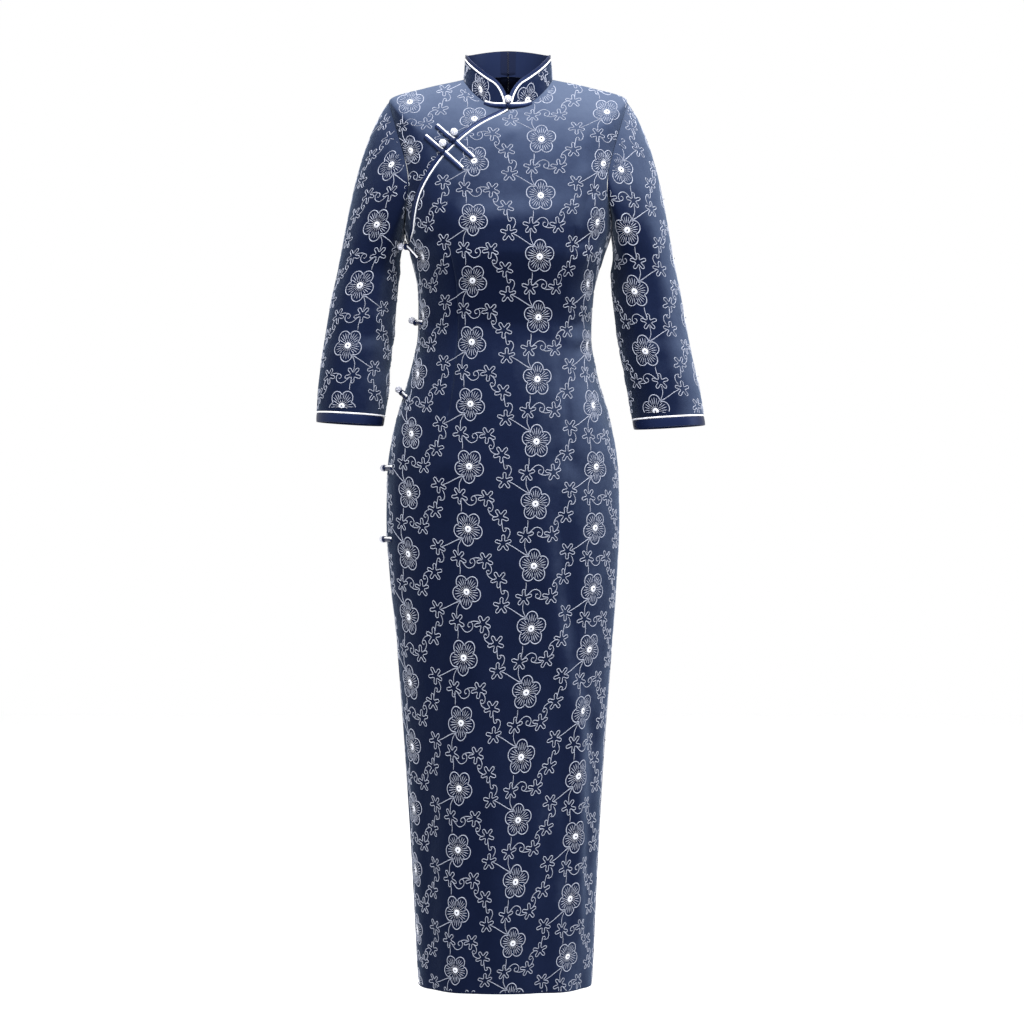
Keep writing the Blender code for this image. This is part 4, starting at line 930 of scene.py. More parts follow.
def sleeve_grid(side):
    """Rows of the sleeve: a cap that leaves the armhole's own points, then the sections of the table."""
    sign = 1 if side == "left" else -1
    loop, body_out = armhole_loop(side)
    length = lengths_along(np.vstack((loop, loop[:1])))
    under = len(loop) // 2
    phases = np.where(
        np.arange(len(loop)) <= under,
        math.pi * length[:-1] / length[under],
        math.pi + math.pi * (length[:-1] - length[under]) / (length[-1] - length[under]),
    )
    table = SLEEVES[side]
    first = sleeve_section(side, table[0][0], phases)
    second = sleeve_section(side, table[0][0] - CAP_MEET_STEP, phases)
    height = (loop[:, 2] - loop[under, 2]) / (loop[0, 2] - loop[under, 2])
    opens = (CAP_TOP_ANGLE - CAP_UNDER_ANGLE) * np.clip(height, 0, 1) ** CAP_POWER
    angle = np.radians(CAP_UNDER_ANGLE + opens)
    leave = unit(np.stack([sign * np.sin(angle), -CAP_LEAN * np.sin(phases), -np.cos(angle)], -1))
    loop_along = unit(np.roll(loop, -1, 0) - np.roll(loop, 1, 0))
    cloth_in = unit(np.cross(loop_along, body_out)) * sign
    sleeve_out = unit(np.cross(leave, loop_along)) * sign
    wrong_way = np.sum(sleeve_out * first_outward(first), -1) < 0
    sleeve_out = np.where(wrong_way[:, None], -sleeve_out, sleeve_out)
    across = -cloth_in
    shift = unit(leave - sleeve_out + body_out + across)
    start = loop + shift * SEAM
    reach = np.linalg.norm(first - start, axis=1)[:, None]
    tangent = unit(first - second) * -1
    rows = []
    for t in np.linspace(0, 1, CAP_ROWS + 1):
        rows.append(
            start * (1 + 2 * t) * (1 - t) ** 2
            + leave * reach * t * (1 - t) ** 2
            + first * t * t * (3 - 2 * t)
            + tangent * reach * CAP_MEET_PULL * t * t * (t - 1)
        )
    for z in np.linspace(table[0][0], table[-1][0], ARM_ROWS + 1)[1:]:
        rows.append(sleeve_section(side, z, phases))
    points = np.array(rows)
    normals = grid_normals(points, first_outward)
    points = points + normals * crease_height(points, phases)[..., None]
    # At the armhole the wall must not lean over the panel beside it.
    inner_way = -normals[0]
    lean = np.minimum(np.sum(inner_way * across, -1), 0)[:, None]
    inner_way = unit(inner_way - across * lean)
    return points, normals, inner_way


def first_outward(row):
    """The way out of a closed row, from its middle."""
    return unit(row - row.mean(axis=0))


def grid_normals(points, outward):
    """Normals of a closed grid, turned the way outward(row) goes."""
    along = np.gradient(points, axis=0)
    across = np.roll(points, -1, 1) - np.roll(points, 1, 1)
    normals = unit(np.cross(along, across))
    for i, row in enumerate(points):
        if i and np.sum(normals[i] * outward(row)) < 0:
            normals[i] *= -1
    if np.sum(normals[0] * normals[1]) < 0:
        normals[0] *= -1
    return normals


def find_place(x, z):
    """(down, around) of the front's point that has this x and z, by Newton's method."""
    down, around = down_at(z) * 0.9, 90 - math.degrees(math.asin(np.clip(x / 170, -0.95, 0.95)))
    for _ in range(25):
        here = form(down, around)
        by_down = (form(down + 0.5, around) - here) / 0.5
        by_around = (form(down, around + 0.2) - here) / 0.2
        step = np.linalg.solve(
            [[by_down[0], by_around[0]], [by_down[2], by_around[2]]], [x - here[0], z - here[2]]
        )
        down, around = down + np.clip(step[0], -20, 20), around + np.clip(step[1], -15, 15)
    return down, around


# ---------------------------------------------------------------- materials

def shader_of(name, base, roughness, **sockets):
    """A material and its shader; sockets gives further values by the socket's name."""
    made = bpy.data.materials.new(name)
    made.use_nodes = True
    shader = made.node_tree.nodes["Principled BSDF"]
    shader.inputs["Base Color"].default_value = (*base, 1)
    shader.inputs["Roughness"].default_value = roughness
    for socket, value in sockets.items():
        shader.inputs[socket.replace("_", " ")].default_value = value
    return made, shader


def node(made, kind, **inputs):
    """A new node of a material, with its inputs set."""
    added = made.node_tree.nodes.new(kind)
    for socket, value in inputs.items():
        added.inputs[socket].default_value = value
    return added


def link(made, out, into):
    made.node_tree.links.new(out, into)


def object_place(made):
    return node(made, "ShaderNodeTexCoord").outputs["Object"]


def noise(made, scale, detail=3.0, roughness=0.55):
    """Noise over the object's own place."""
    texture = node(made, "ShaderNodeTexNoise", Scale=scale, Detail=detail, Roughness=roughness)
    link(made, object_place(made), texture.inputs["Vector"])
    return texture.outputs["Fac"]


def bump(made, shader, height, strength, distance, before=None):
    """Fine relief, over the one before it."""
    added = node(made, "ShaderNodeBump", Strength=strength, Distance=distance)
    link(made, height, added.inputs["Height"])
    if before is not None:
        link(made, before, added.inputs["Normal"])
    link(made, added.outputs["Normal"], shader.inputs["Normal"])
    return added.outputs["Normal"]


def mottled(made, fac, low, high, start=0.3, end=0.7):
    """A colour from low to high as fac goes from start to end."""
    ramp = made.node_tree.nodes.new("ShaderNodeValToRGB")
    ramp.color_ramp.elements[0].position = start
    ramp.color_ramp.elements[1].position = end
    ramp.color_ramp.elements[0].color = (*low, 1)
    ramp.color_ramp.elements[1].color = (*high, 1)
    link(made, fac, ramp.inputs["Fac"])
    return ramp.outputs["Color"]


def velvet_painted_light_look(name, turn):
    """Velvet with painted light and painted shade: colour darker where the cloth faces level or down and
    lighter where it faces up and towards +x, as lamps above and to the side would make it, shifted in random
    brushed patches.
    """
    made, shader = shader_of(name, PAINTED_LIGHT_SHADES[1][1], 0.85, Sheen_Weight=1.0, Sheen_Roughness=0.42,
                             Sheen_Tint=(*VELVET_SHEEN, 1), Specular_IOR_Level=0.0)
    # Painted light: how far the cloth's normal faces the given way.
    turned = node(made, "ShaderNodeVectorMath")
    turned.operation = "DOT_PRODUCT"
    turned.inputs[1].default_value = turn
    link(made, node(made, "ShaderNodeTexCoord").outputs["Normal"], turned.inputs[0])
    patches = node(made, "ShaderNodeMapRange")
    patches.inputs["To Min"].default_value = -PATCH_SHIFT
    patches.inputs["To Max"].default_value = PATCH_SHIFT
    link(made, noise(made, 15, 7, 0.68), patches.inputs["Value"])
    painted_light_fac = node(made, "ShaderNodeMath")
    link(made, turned.outputs["Value"], painted_light_fac.inputs[0])
    link(made, patches.outputs["Result"], painted_light_fac.inputs[1])
    share = node(made, "ShaderNodeMapRange")
    share.inputs["From Min"].default_value = PAINTED_LIGHT_RANGE[0]
    share.inputs["From Max"].default_value = PAINTED_LIGHT_RANGE[1]
    link(made, painted_light_fac.outputs["Value"], share.inputs["Value"])
    ramp = made.node_tree.nodes.new("ShaderNodeValToRGB")
    stops = ramp.color_ramp.elements
    while len(stops) < len(PAINTED_LIGHT_SHADES):
        stops.new(0.5)
    for stop, (faces_by, colour) in zip(stops, PAINTED_LIGHT_SHADES):
        stop.position = (faces_by - PAINTED_LIGHT_RANGE[0]) / (PAINTED_LIGHT_RANGE[1] - PAINTED_LIGHT_RANGE[0])
        stop.color = (*colour, 1)
    link(made, share.outputs["Result"], ramp.inputs["Fac"])
    link(made, ramp.outputs["Color"], shader.inputs["Base Color"])
    pile = bump(made, shader, noise(made, 1300, 2), 0.45, 0.0009)
    brushed = bump(made, shader, noise(made, 120, 5, 0.7), 0.4, 0.0016, pile)
    bump(made, shader, noise(made, 22, 4), 0.3, 0.006, brushed)
    return made


def satin_look(name, base, roughness, scale, gloss, tint=(1, 1, 1)):
    made, shader = shader_of(name, base, roughness, Anisotropic=0.35, Specular_IOR_Level=gloss,
                             Specular_Tint=(*tint, 1))
    weave = bump(made, shader, noise(made, scale, 2), 0.18, 0.0004)
    bump(made, shader, noise(made, 90, 3), 0.15, 0.0008, weave)
    return made


def cord_look():
    made, shader = shader_of("white_cord_look", (0.78, 0.79, 0.83), 0.42, Sheen_Weight=0.3,
                             Specular_IOR_Level=0.5)
    strands = mottled(made, noise(made, 240, 2), (0.66, 0.67, 0.73), (0.83, 0.84, 0.88))
    link(made, strands, shader.inputs["Base Color"])
    bump(made, shader, noise(made, 1500, 2), 0.35, 0.0004)
    return made


def thread_look(name, dark, light, roughness):
    """Shiny embroidery thread: fine slanting stitches."""
    made, shader = shader_of(name, light, roughness, Sheen_Weight=0.1, Specular_IOR_Level=0.4)
    wave = node(made, "ShaderNodeTexWave", Scale=300.0, Distortion=1.5, Detail=1.0)
    wave.bands_direction = "DIAGONAL"
    link(made, object_place(made), wave.inputs["Vector"])
    link(made, mottled(made, noise(made, 420, 2), dark, light), shader.inputs["Base Color"])
    bump(made, shader, wave.outputs["Fac"], 0.5, 0.0004)
    return made


def lining_look():
    made, shader = shader_of("lining_look", (0.008, 0.0135, 0.043), 0.5, Specular_IOR_Level=0.2,
                             Specular_Tint=(0.4, 0.55, 1.0, 1))
    bump(made, shader, noise(made, 700, 2), 0.2, 0.0004)
    return made


def tape_look():
    made, shader = shader_of("zip_tape_look", (0.0068, 0.0115, 0.036), 0.8, Specular_IOR_Level=0.1)
    wave = node(made, "ShaderNodeTexWave", Scale=260.0, Distortion=0.4)
    link(made, object_place(made), wave.inputs["Vector"])
    bump(made, shader, wave.outputs["Fac"], 0.35, 0.0003)
    return made


def metal_look():
    made, shader = shader_of("enamel_look", (0.018, 0.024, 0.055), 0.3, Metallic=0.35, Coat_Weight=0.6,
                             Coat_Roughness=0.15)
    link(made, mottled(made, noise(made, 500, 3), (0.014, 0.019, 0.046), (0.024, 0.031, 0.066)),
         shader.inputs["Base Color"])
    bump(made, shader, noise(made, 900, 2), 0.1, 0.0002)
    return made


def stone_look():
    made, shader = shader_of("stone_look", (0.72, 0.73, 0.80), 0.06, Metallic=0.25, Specular_IOR_Level=0.9,
                             Coat_Weight=1.0, Coat_Roughness=0.03)
    link(made, mottled(made, noise(made, 900, 1), (0.36, 0.38, 0.50), (0.86, 0.87, 0.93), 0.4, 0.6),
         shader.inputs["Base Color"])
    return made


# The body's velvet, with painted light on cloth facing up and painted shade on cloth facing level or down.
VELVET_PAINTED_LIGHT_LOOK = velvet_painted_light_look("velvet_painted_light_look", PAINTED_LIGHT_WAY)
# The collar's velvet: a darker copy with weaker painted light, in painted shade.
COLLAR_VELVET_PAINTED_LIGHT_LOOK = velvet_painted_light_look("collar_velvet_painted_light_look", COLLAR_PAINTED_LIGHT_WAY)
LINING_LOOK = lining_look()
SATIN_LOOK = satin_look("navy_satin_look", (0.005, 0.009, 0.034), 0.4, 1100, 0.22, (0.35, 0.5, 1.0))
CORD_LOOK = cord_look()
VELVET_WALL = (VELVET_PAINTED_LIGHT_LOOK, LINING_LOOK)
THREADS = (
    thread_look("thread_look", (0.24, 0.26, 0.34), (0.38, 0.41, 0.49), 0.45),
    thread_look("bright_thread_look", (0.52, 0.54, 0.61), (0.66, 0.68, 0.75), 0.4),
    thread_look("dark_thread_look", (0.01, 0.012, 0.03), (0.02, 0.025, 0.05), 0.5),
)
TAPE_LOOK = tape_look()
METAL_LOOK = metal_look()
STONE_LOOK = stone_look()
SETTING_LOOK = satin_look("bead_setting_look", (0.42, 0.43, 0.52), 0.3, 1200, 0.5)


# ---------------------------------------------------------------- panels

def dart_around(dart, z):
    """The angle of a dart's line at a height, and how far down the dart that is."""
    t = np.clip((z - dart.top_z) / (dart.bottom_z - dart.top_z), 0, 1)
    return dart.top_around + (dart.bottom_around - dart.top_around) * t, t


def dart_shares(down, fine, length):
    """The shares of the front's width at which its darts' lines run at one row."""
    z = float(form(down, 180)[2])
    made = []
    for dart in named(DART_COLUMNS, FRONT_DARTS):
        at = np.interp(dart_around(dart, z)[0], fine, length) / length[-1]
        made.append(float(np.clip(at, DART_LEAST_SHARE + DART_SHARE_STEP * len(made), DART_MOST_SHARE)))
    return sorted(made)


def dart_relief(arc, z):
    """The front darts' stitched lines, each in a shallow hollow, by arc from the middle line."""
    rise = np.zeros(np.broadcast(arc, z).shape)
    for dart in named(DART_COLUMNS, FRONT_DARTS):
        around, t = dart_around(dart, z)
        at = np.array([dart_arc(round(float(angle), 2), int(height)) for angle, height in zip(around, z)])
        ends = smooth(0, DART_FADE, t) * (1 - smooth(1 - DART_FADE, 1, t))
        inside = (z < dart.top_z) & (z > dart.bottom_z)
        groove = DART_GROOVE * np.exp(-(((arc - at) / DART_GROOVE_WIDTH) ** 2))
        hollow = DART_HOLLOW * np.exp(-(((arc - at) / DART_HOLLOW_WIDTH) ** 2))
        rise = rise - inside * ends * (groove + hollow)
    return rise


DART_ARCS = {}


def dart_arc(around, z):
    """Arc from the middle line to an angle at a height, remembered for each angle and few millimetres."""
    band = z // DART_BAND
    if (around, band) not in DART_ARCS:
        down = down_at(band * DART_BAND + DART_BAND / 2)
        sign = -1 if around > 90 else 1
        DART_ARCS[(around, band)] = sign * arc_between(down, min(90, around), max(90, around))
    return DART_ARCS[(around, band)]


def front_grid():
    """The front's dense grid, with its darts, creases and stitched edge."""
    def relief(arc, z):
        line = np.exp(-(((arc - PLACKET_ARC) / PLACKET_WIDTH) ** 2))
        placket = line * smooth(*PLACKET_TOP, -z) * (1 - smooth(*PLACKET_BOTTOM, -z))
        return dart_relief(arc, z) + line_relief(FRONT_CREASES, arc, z) - PLACKET_GROOVE * placket

    grid = dense_panel(
        front_edges, dense_rows(), FRONT_CELLS, front_insets, 90, dart_shares, front_lift, relief,
    )
    soften_hem_corner(grid, "start", HEM_CORNER)
    soften_hem_corner(grid, "end", HEM_CORNER)
    return grid


def underlap_grid():
    """The dense grid of the small front under the flap, down to the frogs' end."""
    rows = dense_rows()
    rows = rows[rows < down_at(CLOSURE_END)]

    def edges(down):
        inner = arc_shift(down, opening_around(down), -underlap_width(down))
        return inner, 180 - armhole_inset(down, FRONT_ARMHOLE)

    def insets(down):
        return 0.0, (0.0 if DOWN_SHOULDER < down < DOWN_UNDERARM else SEAM / 2)

    def sunk(down, around):
        return -UNDERLAP_SUNK * float(smooth(0, UNDERLAP_START[0] - 2, down)) + np.zeros(len(around))

    def relief(arc, z):
        return line_relief(UNDERLAP_CREASES, arc, z)

    return dense_panel(edges, rows, UNDERLAP_CELLS, insets, 90, lift=sunk, relief=relief)


def back_grid(side):
    """The dense grid of one half of the back."""
    left = side == "left"

    def edges(down):
        armhole = armhole_inset(down, BACK_ARMHOLE)
        return (270, 360 - armhole) if left else (180 + armhole, 270)

    def insets(down):
        outer = 0.0 if DOWN_SHOULDER < down < DOWN_UNDERARM else side_inset(down, 0)
        return (SEAM / 2, outer) if left else (outer, SEAM / 2)

    sign = 1 if left else -1
    creases = [(-sign * row[0], row[1], -sign * row[2], *row[3:]) for row in BACK_CREASES]

    def relief(arc, z):
        return line_relief(creases, arc, z)

    def shares(_down, _fine, _length):
        return [BACK_LINE_SHARE if left else 1 - BACK_LINE_SHARE]

    grid = dense_panel(edges, dense_rows(), BACK_CELLS, insets, 270, shares, relief=relief)
    soften_hem_corner(grid, "end" if left else "start", HEM_CORNER)
    return grid


def declare_cloth(made, outer, with_pieces=()):
    """Measures the steps across and along a panel's grid; nothing is kept or stated."""
    across = np.linalg.norm(np.diff(outer, axis=1), axis=-1)
    along = np.linalg.norm(np.diff(outer, axis=0), axis=-1)


def side_trim(name, grid, at_start):
    """The dark bound edge of a slit, laid on the panel's own edge points."""
    points = grid.points if at_start else grid.points[:, ::-1]
    normals = grid.normals if at_start else grid.normals[:, ::-1]
    rows = np.nonzero(points[:, 0, 2] < SLIT_TOP + SLIT_TRIM_ABOVE)[0]
    edge, out = points[rows, 0], normals[rows, 0]
    inward = unit(points[rows, 5] - edge)
    across, height = np.array(SLIT_TRIM).T[..., None]
    outer = edge[:, None] + inward[:, None] * across + out[:, None] * height
    inner = edge[:, None] + inward[:, None] * across + out[:, None] * SLIT_TRIM_UNDER
    made = shell(name, outer, inner, [SATIN_LOOK])
    return made


def trim_lines(grid):
    """The opening's edge from the neck frog to just past the underarm.

    Gives its places, the way outward, the way beyond the edge, and how far down each place is.
    """
    downs = dense_rows()
    heights = np.array([float(form(down, 180)[2]) for down in downs])
    rows = np.nonzero((heights > TRIM_END) & (downs > TRIM_FROM))[0]
    edge = grid.points[rows, -1] + grid.normals[rows, -1] * EDGE_ROLL
    for _ in range(TRIM_SMOOTHED):
        edge[1:-1] = (edge[:-2] + 2 * edge[1:-1] + edge[2:]) / 4
    out = np.array([form_normal(downs[i], opening_around(downs[i])) for i in rows])
    lifts = [front_lift(downs[i], np.array([opening_around(downs[i])])).max() for i in rows]
    edge = edge + out * np.maximum(0, LIFT - np.array(lifts))[:, None]
    along = unit(np.gradient(edge, axis=0))
    return edge, out, unit(np.cross(along, out)), downs[rows]


def opening_pieces(grid):
    """The white cord and the satin band along the opening."""
    edge, out, beyond, downs = trim_lines(grid)
    middle = edge + beyond * CORD_OUT - out * OPENING_CORD_SUNK
    cord = tube("opening_cord", middle, out, CORD_RADIUS, CORD_RADIUS, CORD_SIDES, CORD_LOOK)
    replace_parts(cord, "opening_piping")
    near = BAND_NEAR - BAND_UNDER
    far = near + (BAND_FAR - BAND_NEAR) * smooth(*TRIM_WIDENS, downs)
    shares, dome = np.array(OPENING_BAND).T
    across = near + shares[None] * (far - near)[:, None]
    base = edge[:, None] + beyond[:, None] * across[..., None]
    outer = base - out[:, None] * (OPENING_BAND_SUNK - dome)[None, :, None]
    inner = base - out[:, None] * (OPENING_BAND_SUNK + BAND_WALL)
    band = shell("opening_band", outer, inner, [SATIN_LOOK])
    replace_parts(band, "opening_binding")


# ---------------------------------------------------------------- collar

def collar_line(count):
    """The velvet's upper edge in (along, height), from low at the front round its corner to the back."""
    turn = np.radians(np.linspace(10, 90, 25))
    corner = np.stack([COLLAR_CORNER * (1 - np.cos(turn)), COLLAR_FRONT_HEIGHT * np.sin(turn)], 1)
    along = np.linspace(COLLAR_CORNER, COLLAR_LENGTH - SEAM / 2, count - 24)[1:]
    drop = smooth(*COLLAR_DROP, along)
    level = COLLAR_FRONT_HEIGHT + (COLLAR_SIDE_HEIGHT - COLLAR_FRONT_HEIGHT) * drop
    return np.vstack((corner, np.stack([along, level], 1)))


def collar_sheet(name, rows, start, end, mirror, material, solid, round_edge=0.0):
    """Collar cloth through (along, height) rows, from start to end inwards of the stand's face."""
    outer = np.array([collar_point(place[:, 0], place[:, 1], start) for place in rows]) * mirror
    inner = np.array([collar_point(place[:, 0], place[:, 1], end) for place in rows]) * mirror
    if round_edge:
        way = inner - outer
        roll = np.zeros(len(rows))
        roll[0] = roll[-1] = round_edge
        outer = outer + way * roll[:, None, None]
    made = shell(name, outer, inner, [material])
    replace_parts(made, solid)
    return made, outer


def collar_pieces(side):
    """One half of the collar: velvet, cord, satin band and facing."""
    mirror = np.array([1 if side == "left" else -1, 1, 1], float)
    outline = collar_line(COLLAR_DENSE)
    away = np.gradient(outline, axis=0)
    away = unit(np.stack([-away[:, 1], away[:, 0]], 1))
    away[-1] = (0, 1)
    foot = np.stack([outline[:, 0], np.zeros(len(outline))], 1)
    rows = [outline + (foot - outline) * share for share in np.linspace(0, 1, COLLAR_ROWS)]
    velvet, stand = collar_sheet(f"collar_velvet_{side}", rows, 0, COLLAR_WALL, mirror, COLLAR_VELVET_PAINTED_LIGHT_LOOK,
                                 f"collar_{side}")
    cord_line = outline + away * CORD_OUT
    path = collar_point(cord_line[:, 0], cord_line[:, 1], COLLAR_CORD_SUNK) * mirror
    deeper = collar_point(cord_line[:, 0], cord_line[:, 1], COLLAR_CORD_SUNK + 2.8) * mirror
    out = unit(path - deeper)
    cord = tube(f"collar_cord_{side}", path, out, CORD_RADIUS, CORD_RADIUS, CORD_SIDES, CORD_LOOK)
    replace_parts(cord, f"collar_piping_{side}")
    far, near = COLLAR_BAND_FAR, BAND_NEAR - BAND_UNDER
    band_rows = [outline + away * (near + (far - near) * share) for share in COLLAR_BAND_SHARES]
    collar_sheet(f"collar_band_{side}", band_rows, 0, COLLAR_WALL, mirror, SATIN_LOOK,
                 f"collar_binding_{side}", round_edge=COLLAR_BAND_ROLL)
    top = outline + away * (COLLAR_BAND_FAR - FACING_BELOW)
    low = foot - np.array([0, FACING_FOOT])
    lining_rows = [top + (low - top) * share for share in np.linspace(0, 1, FACING_ROWS)]
    lining, outer = collar_sheet(f"collar_facing_{side}", lining_rows, COLLAR_WALL + SEAM,
                                 COLLAR_WALL + SEAM + SATIN_WALL, mirror, LINING_LOOK,
                                 f"collar_lining_{side}")
    declare_cloth(lining, outer)
    return velvet, stand


# ---------------------------------------------------------------- sleeves

def armhole_loop(side):
    """The armhole's edge as the panels have it: from the shoulder over front and underarm to the back."""
    turns = [down for down in dense_rows() if DOWN_SHOULDER < down < DOWN_UNDERARM - 1e-6]
    places = [(DOWN_SHOULDER, 0.0)]
    places += [(down, armhole_inset(down, FRONT_ARMHOLE)) for down in turns]
    places.append((DOWN_UNDERARM, 0.0))
    places += [(down, -armhole_inset(down, BACK_ARMHOLE)) for down in reversed(turns)]
    down, around = np.array(places).T
    if side == "right":
        around = 180 - around
    return form(down, around), form_normal(down, around)


def sleeve_pieces(side):
    """A sleeve's velvet, with the cord and the satin band at its cuff."""
    points, normals, inner_way = sleeve_grid(side)
    depth = np.arange(len(points))[:, None]
    points = points - normals * (EDGE_ROLL * (1 - smooth(0, 2, depth)))[..., None]
    inner = points - normals * WALL
    inner[0] = points[0] + inner_way * WALL
    velvet = shell(f"sleeve_velvet_{side}", points, inner, VELVET_WALL, closed=True)
    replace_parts(velvet, f"sleeve_{side}")
    edge, out = points[-1], normals[-1]
    onward = unit(points[-1] - points[-2])
    middle = edge + onward * CORD_OUT - out * CUFF_CORD_SUNK
    thick = CORD_RADIUS
    cord = tube(f"cuff_cord_{side}", middle, out, thick, thick, CORD_SIDES, CORD_LOOK, closed=True)
    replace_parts(cord, f"cuff_piping_{side}")
    shares, dome = np.array(CUFF_DOME).T[..., None, None]
    base = edge + onward * (BAND_NEAR - BAND_UNDER + (CUFF_BAND + BAND_UNDER) * shares)
    band = shell(f"cuff_satin_{side}", base + out * dome, base - out * BAND_WALL, [SATIN_LOOK], closed=True)
    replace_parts(band, f"cuff_band_{side}")
    return velvet, points, normals


# ---------------------------------------------------------------- frogs

def leg_pieces(name, place, heights):
    """One leg: a navy satin fold with a white cord along its upper edge."""
    steps = np.linspace(LEG_STEPS[0], LEG_STEPS[-1], LEG_DENSE)
    levels = monotone(LEG_STEPS, heights, steps)
    spots = [place(s, level + LEG_HALF_HEIGHT) for s, level in zip(steps, levels)]
    path = np.array([spot[0] for spot in spots])
    ups = np.array([spot[1] for spot in spots])
    along = unit(np.gradient(path, axis=0))
    across = unit(np.cross(along, ups))
    upper = across * np.where(across[:, 2:] >= 0, 1, -1)
    swell = 1 - smooth(*KNOT_END, steps)
    satin_path = path - upper * LEG_SATIN["below"]
    satin_width = LEG_SATIN["half_width"] + KNOT_SWELL * swell
    sides = LEG_SATIN["sides"]
    satin = tube(f"{name}_satin", satin_path, ups, satin_width, LEG_HALF_HEIGHT, sides, SATIN_LOOK)
    from_knot = steps > LEG_CORD["from"]
    cord_path = (path + upper * LEG_CORD["above"] + ups * LEG_CORD["out"])[from_knot]
    thick = LEG_CORD["radius"]
    cord = tube(f"{name}_cord", cord_path, ups[from_knot], thick, thick, CORD_SIDES, CORD_LOOK)
    tip_reach = np.linspace(*LEG_TIP["reach"], 5)[:, None]
    tip_path = path[-1] + along[-1] * tip_reach + upper[-1] * LEG_TIP["above"]
    tip_ups = np.tile(ups[-1], (5, 1))
    tip = tube(f"{name}_tip", tip_path, tip_ups, *LEG_TIP["half_size"], CORD_SIDES, CORD_LOOK)
    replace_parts(satin, name)


def crystal(work, centre, out, radius):
    """A small faceted stone: a flat table over a ring of six facets."""
    side = unit(np.cross(out, (0.31, 0.52, 0.79)))
    other = np.cross(out, side)
    start = len(work.points)
    for ring, (height, size) in enumerate(STONE_RINGS):
        for k in range(6):
            a = (k + 0.5 * ring) * math.pi / 3
            spoke = side * math.cos(a) + other * math.sin(a)
            work.points.append(centre + out * height * radius + spoke * size * radius)
    for k in range(6):
        n = (k + 1) % 6
        work.faces.append([start + k, start + n, start + 6 + k])
        work.faces.append([start + n, start + 6 + n, start + 6 + k])
    work.faces.append([start + 6 + k for k in range(6)])


def bead_pieces(name, centre):
    """A ball set all over with small stones."""
    centre = np.asarray(centre, float)
    work = SimpleNamespace(points=[], faces=[])
    rings, spokes = BALL_RINGS, BALL_SPOKES
    core = BEAD_RADIUS - STONE_DEPTH
    polar = np.linspace(0.02, math.pi - 0.02, rings)
    turn = np.arange(spokes) * 2 * math.pi / spokes
    ball = [centre + core * np.array([math.sin(p) * math.cos(a), math.sin(p) * math.sin(a), math.cos(p)])
            for p in polar for a in turn]
    faces = tube_faces(rings, spokes)
    faces += [list(range(spokes))[::-1], [(rings - 1) * spokes + k for k in range(spokes)]]
    setting = make_mesh(f"{name}_setting", np.array(ball), faces, [SETTING_LOOK])
    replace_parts(setting, name)
    golden = math.pi * (3 - math.sqrt(5))
    for k in range(BEAD_STONES):
        height = 1 - 2 * (k + 0.5) / BEAD_STONES
        flat = math.sqrt(1 - height * height)
        out = np.array([flat * math.cos(golden * k), flat * math.sin(golden * k), height])
        crystal(work, centre + out * (core - STONE_SUNK), out, STONE_RADIUS)
    stones = make_mesh(f"{name}_stones", np.array(work.points), work.faces, [STONE_LOOK], sharp=5)


def knot_piece(name, centre, out, along, radius):
    """The small satin ball knot between the two legs: three crossing turns of cord."""
    side = unit(np.cross(out, along))
    turn = np.linspace(0, 2 * math.pi, 21)[:-1]
    for number, tilt in enumerate(KNOT_TILTS, start=1):
        way = along * math.cos(tilt) + side * math.sin(tilt)
        rise = out * KNOT_RISE + np.cross(way, out) * KNOT_SLANT
        path = centre + radius * (np.cos(turn)[:, None] * way + np.sin(turn)[:, None] * rise)
        ups = unit(path - centre)
        made = tube(f"{name}_turn_{number}", path, ups, *KNOT_CORD, KNOT_CORD_SIDES, SATIN_LOOK, closed=True)


def frog(name, place, loop_heights, knob_heights, bead_centre, knot_radius=KNOT_RADIUS):
    """A frog whose place(s, height) gives a point and its outward way, s to the loop's side of the knot."""
    leg_pieces(f"{name}_loop", place, loop_heights)
    leg_pieces(f"{name}_knob", lambda s, height: place(-s, height), knob_heights)
    bead_pieces(f"{name}_bead", bead_centre)
    near, out = place(LEG_STEPS[0], loop_heights[0] + LEG_HALF_HEIGHT + KNOT_OUT)
    further, _out = place(-LEG_STEPS[0], knob_heights[0] + LEG_HALF_HEIGHT + KNOT_OUT)
    knot_piece(f"{name}_knot", (near + further) / 2, unit(out), unit(near - further), knot_radius)


# ---------------------------------------------------------------- embroidery

def level_cuts(points, normals):
    """The cloth cut at level heights from the top down: each column's place and normal, where it reaches."""
    heights = np.arange(points[..., 2].max(), points[..., 2].min(), -NET_STEP)
    cut = np.full((len(heights), points.shape[1], 6), np.nan)
    for j in range(points.shape[1]):
        z = points[:, j, 2]
        lowest = np.minimum.accumulate(z)
        falls = np.concatenate(([True], z[1:] < lowest[:-1] - 1e-6))
        inside = (heights <= z[falls][0]) & (heights >= z[falls][-1])
        for axis in range(3):
            cut[inside, j, axis] = np.interp(-heights[inside], -z[falls], points[falls, j, axis])
            cut[inside, j, 3 + axis] = np.interp(-heights[inside], -z[falls], normals[falls, j, axis])
    return heights, cut


def net_row(across, along, spots):
    """One row of a net: a cut's places and normals, given at the lengths along, at the lengths across."""
    order = np.argsort(along)
    columns = [np.interp(across, along[order], spots[order, axis], np.nan, np.nan) for axis in range(6)]
    return np.stack(columns, 1)


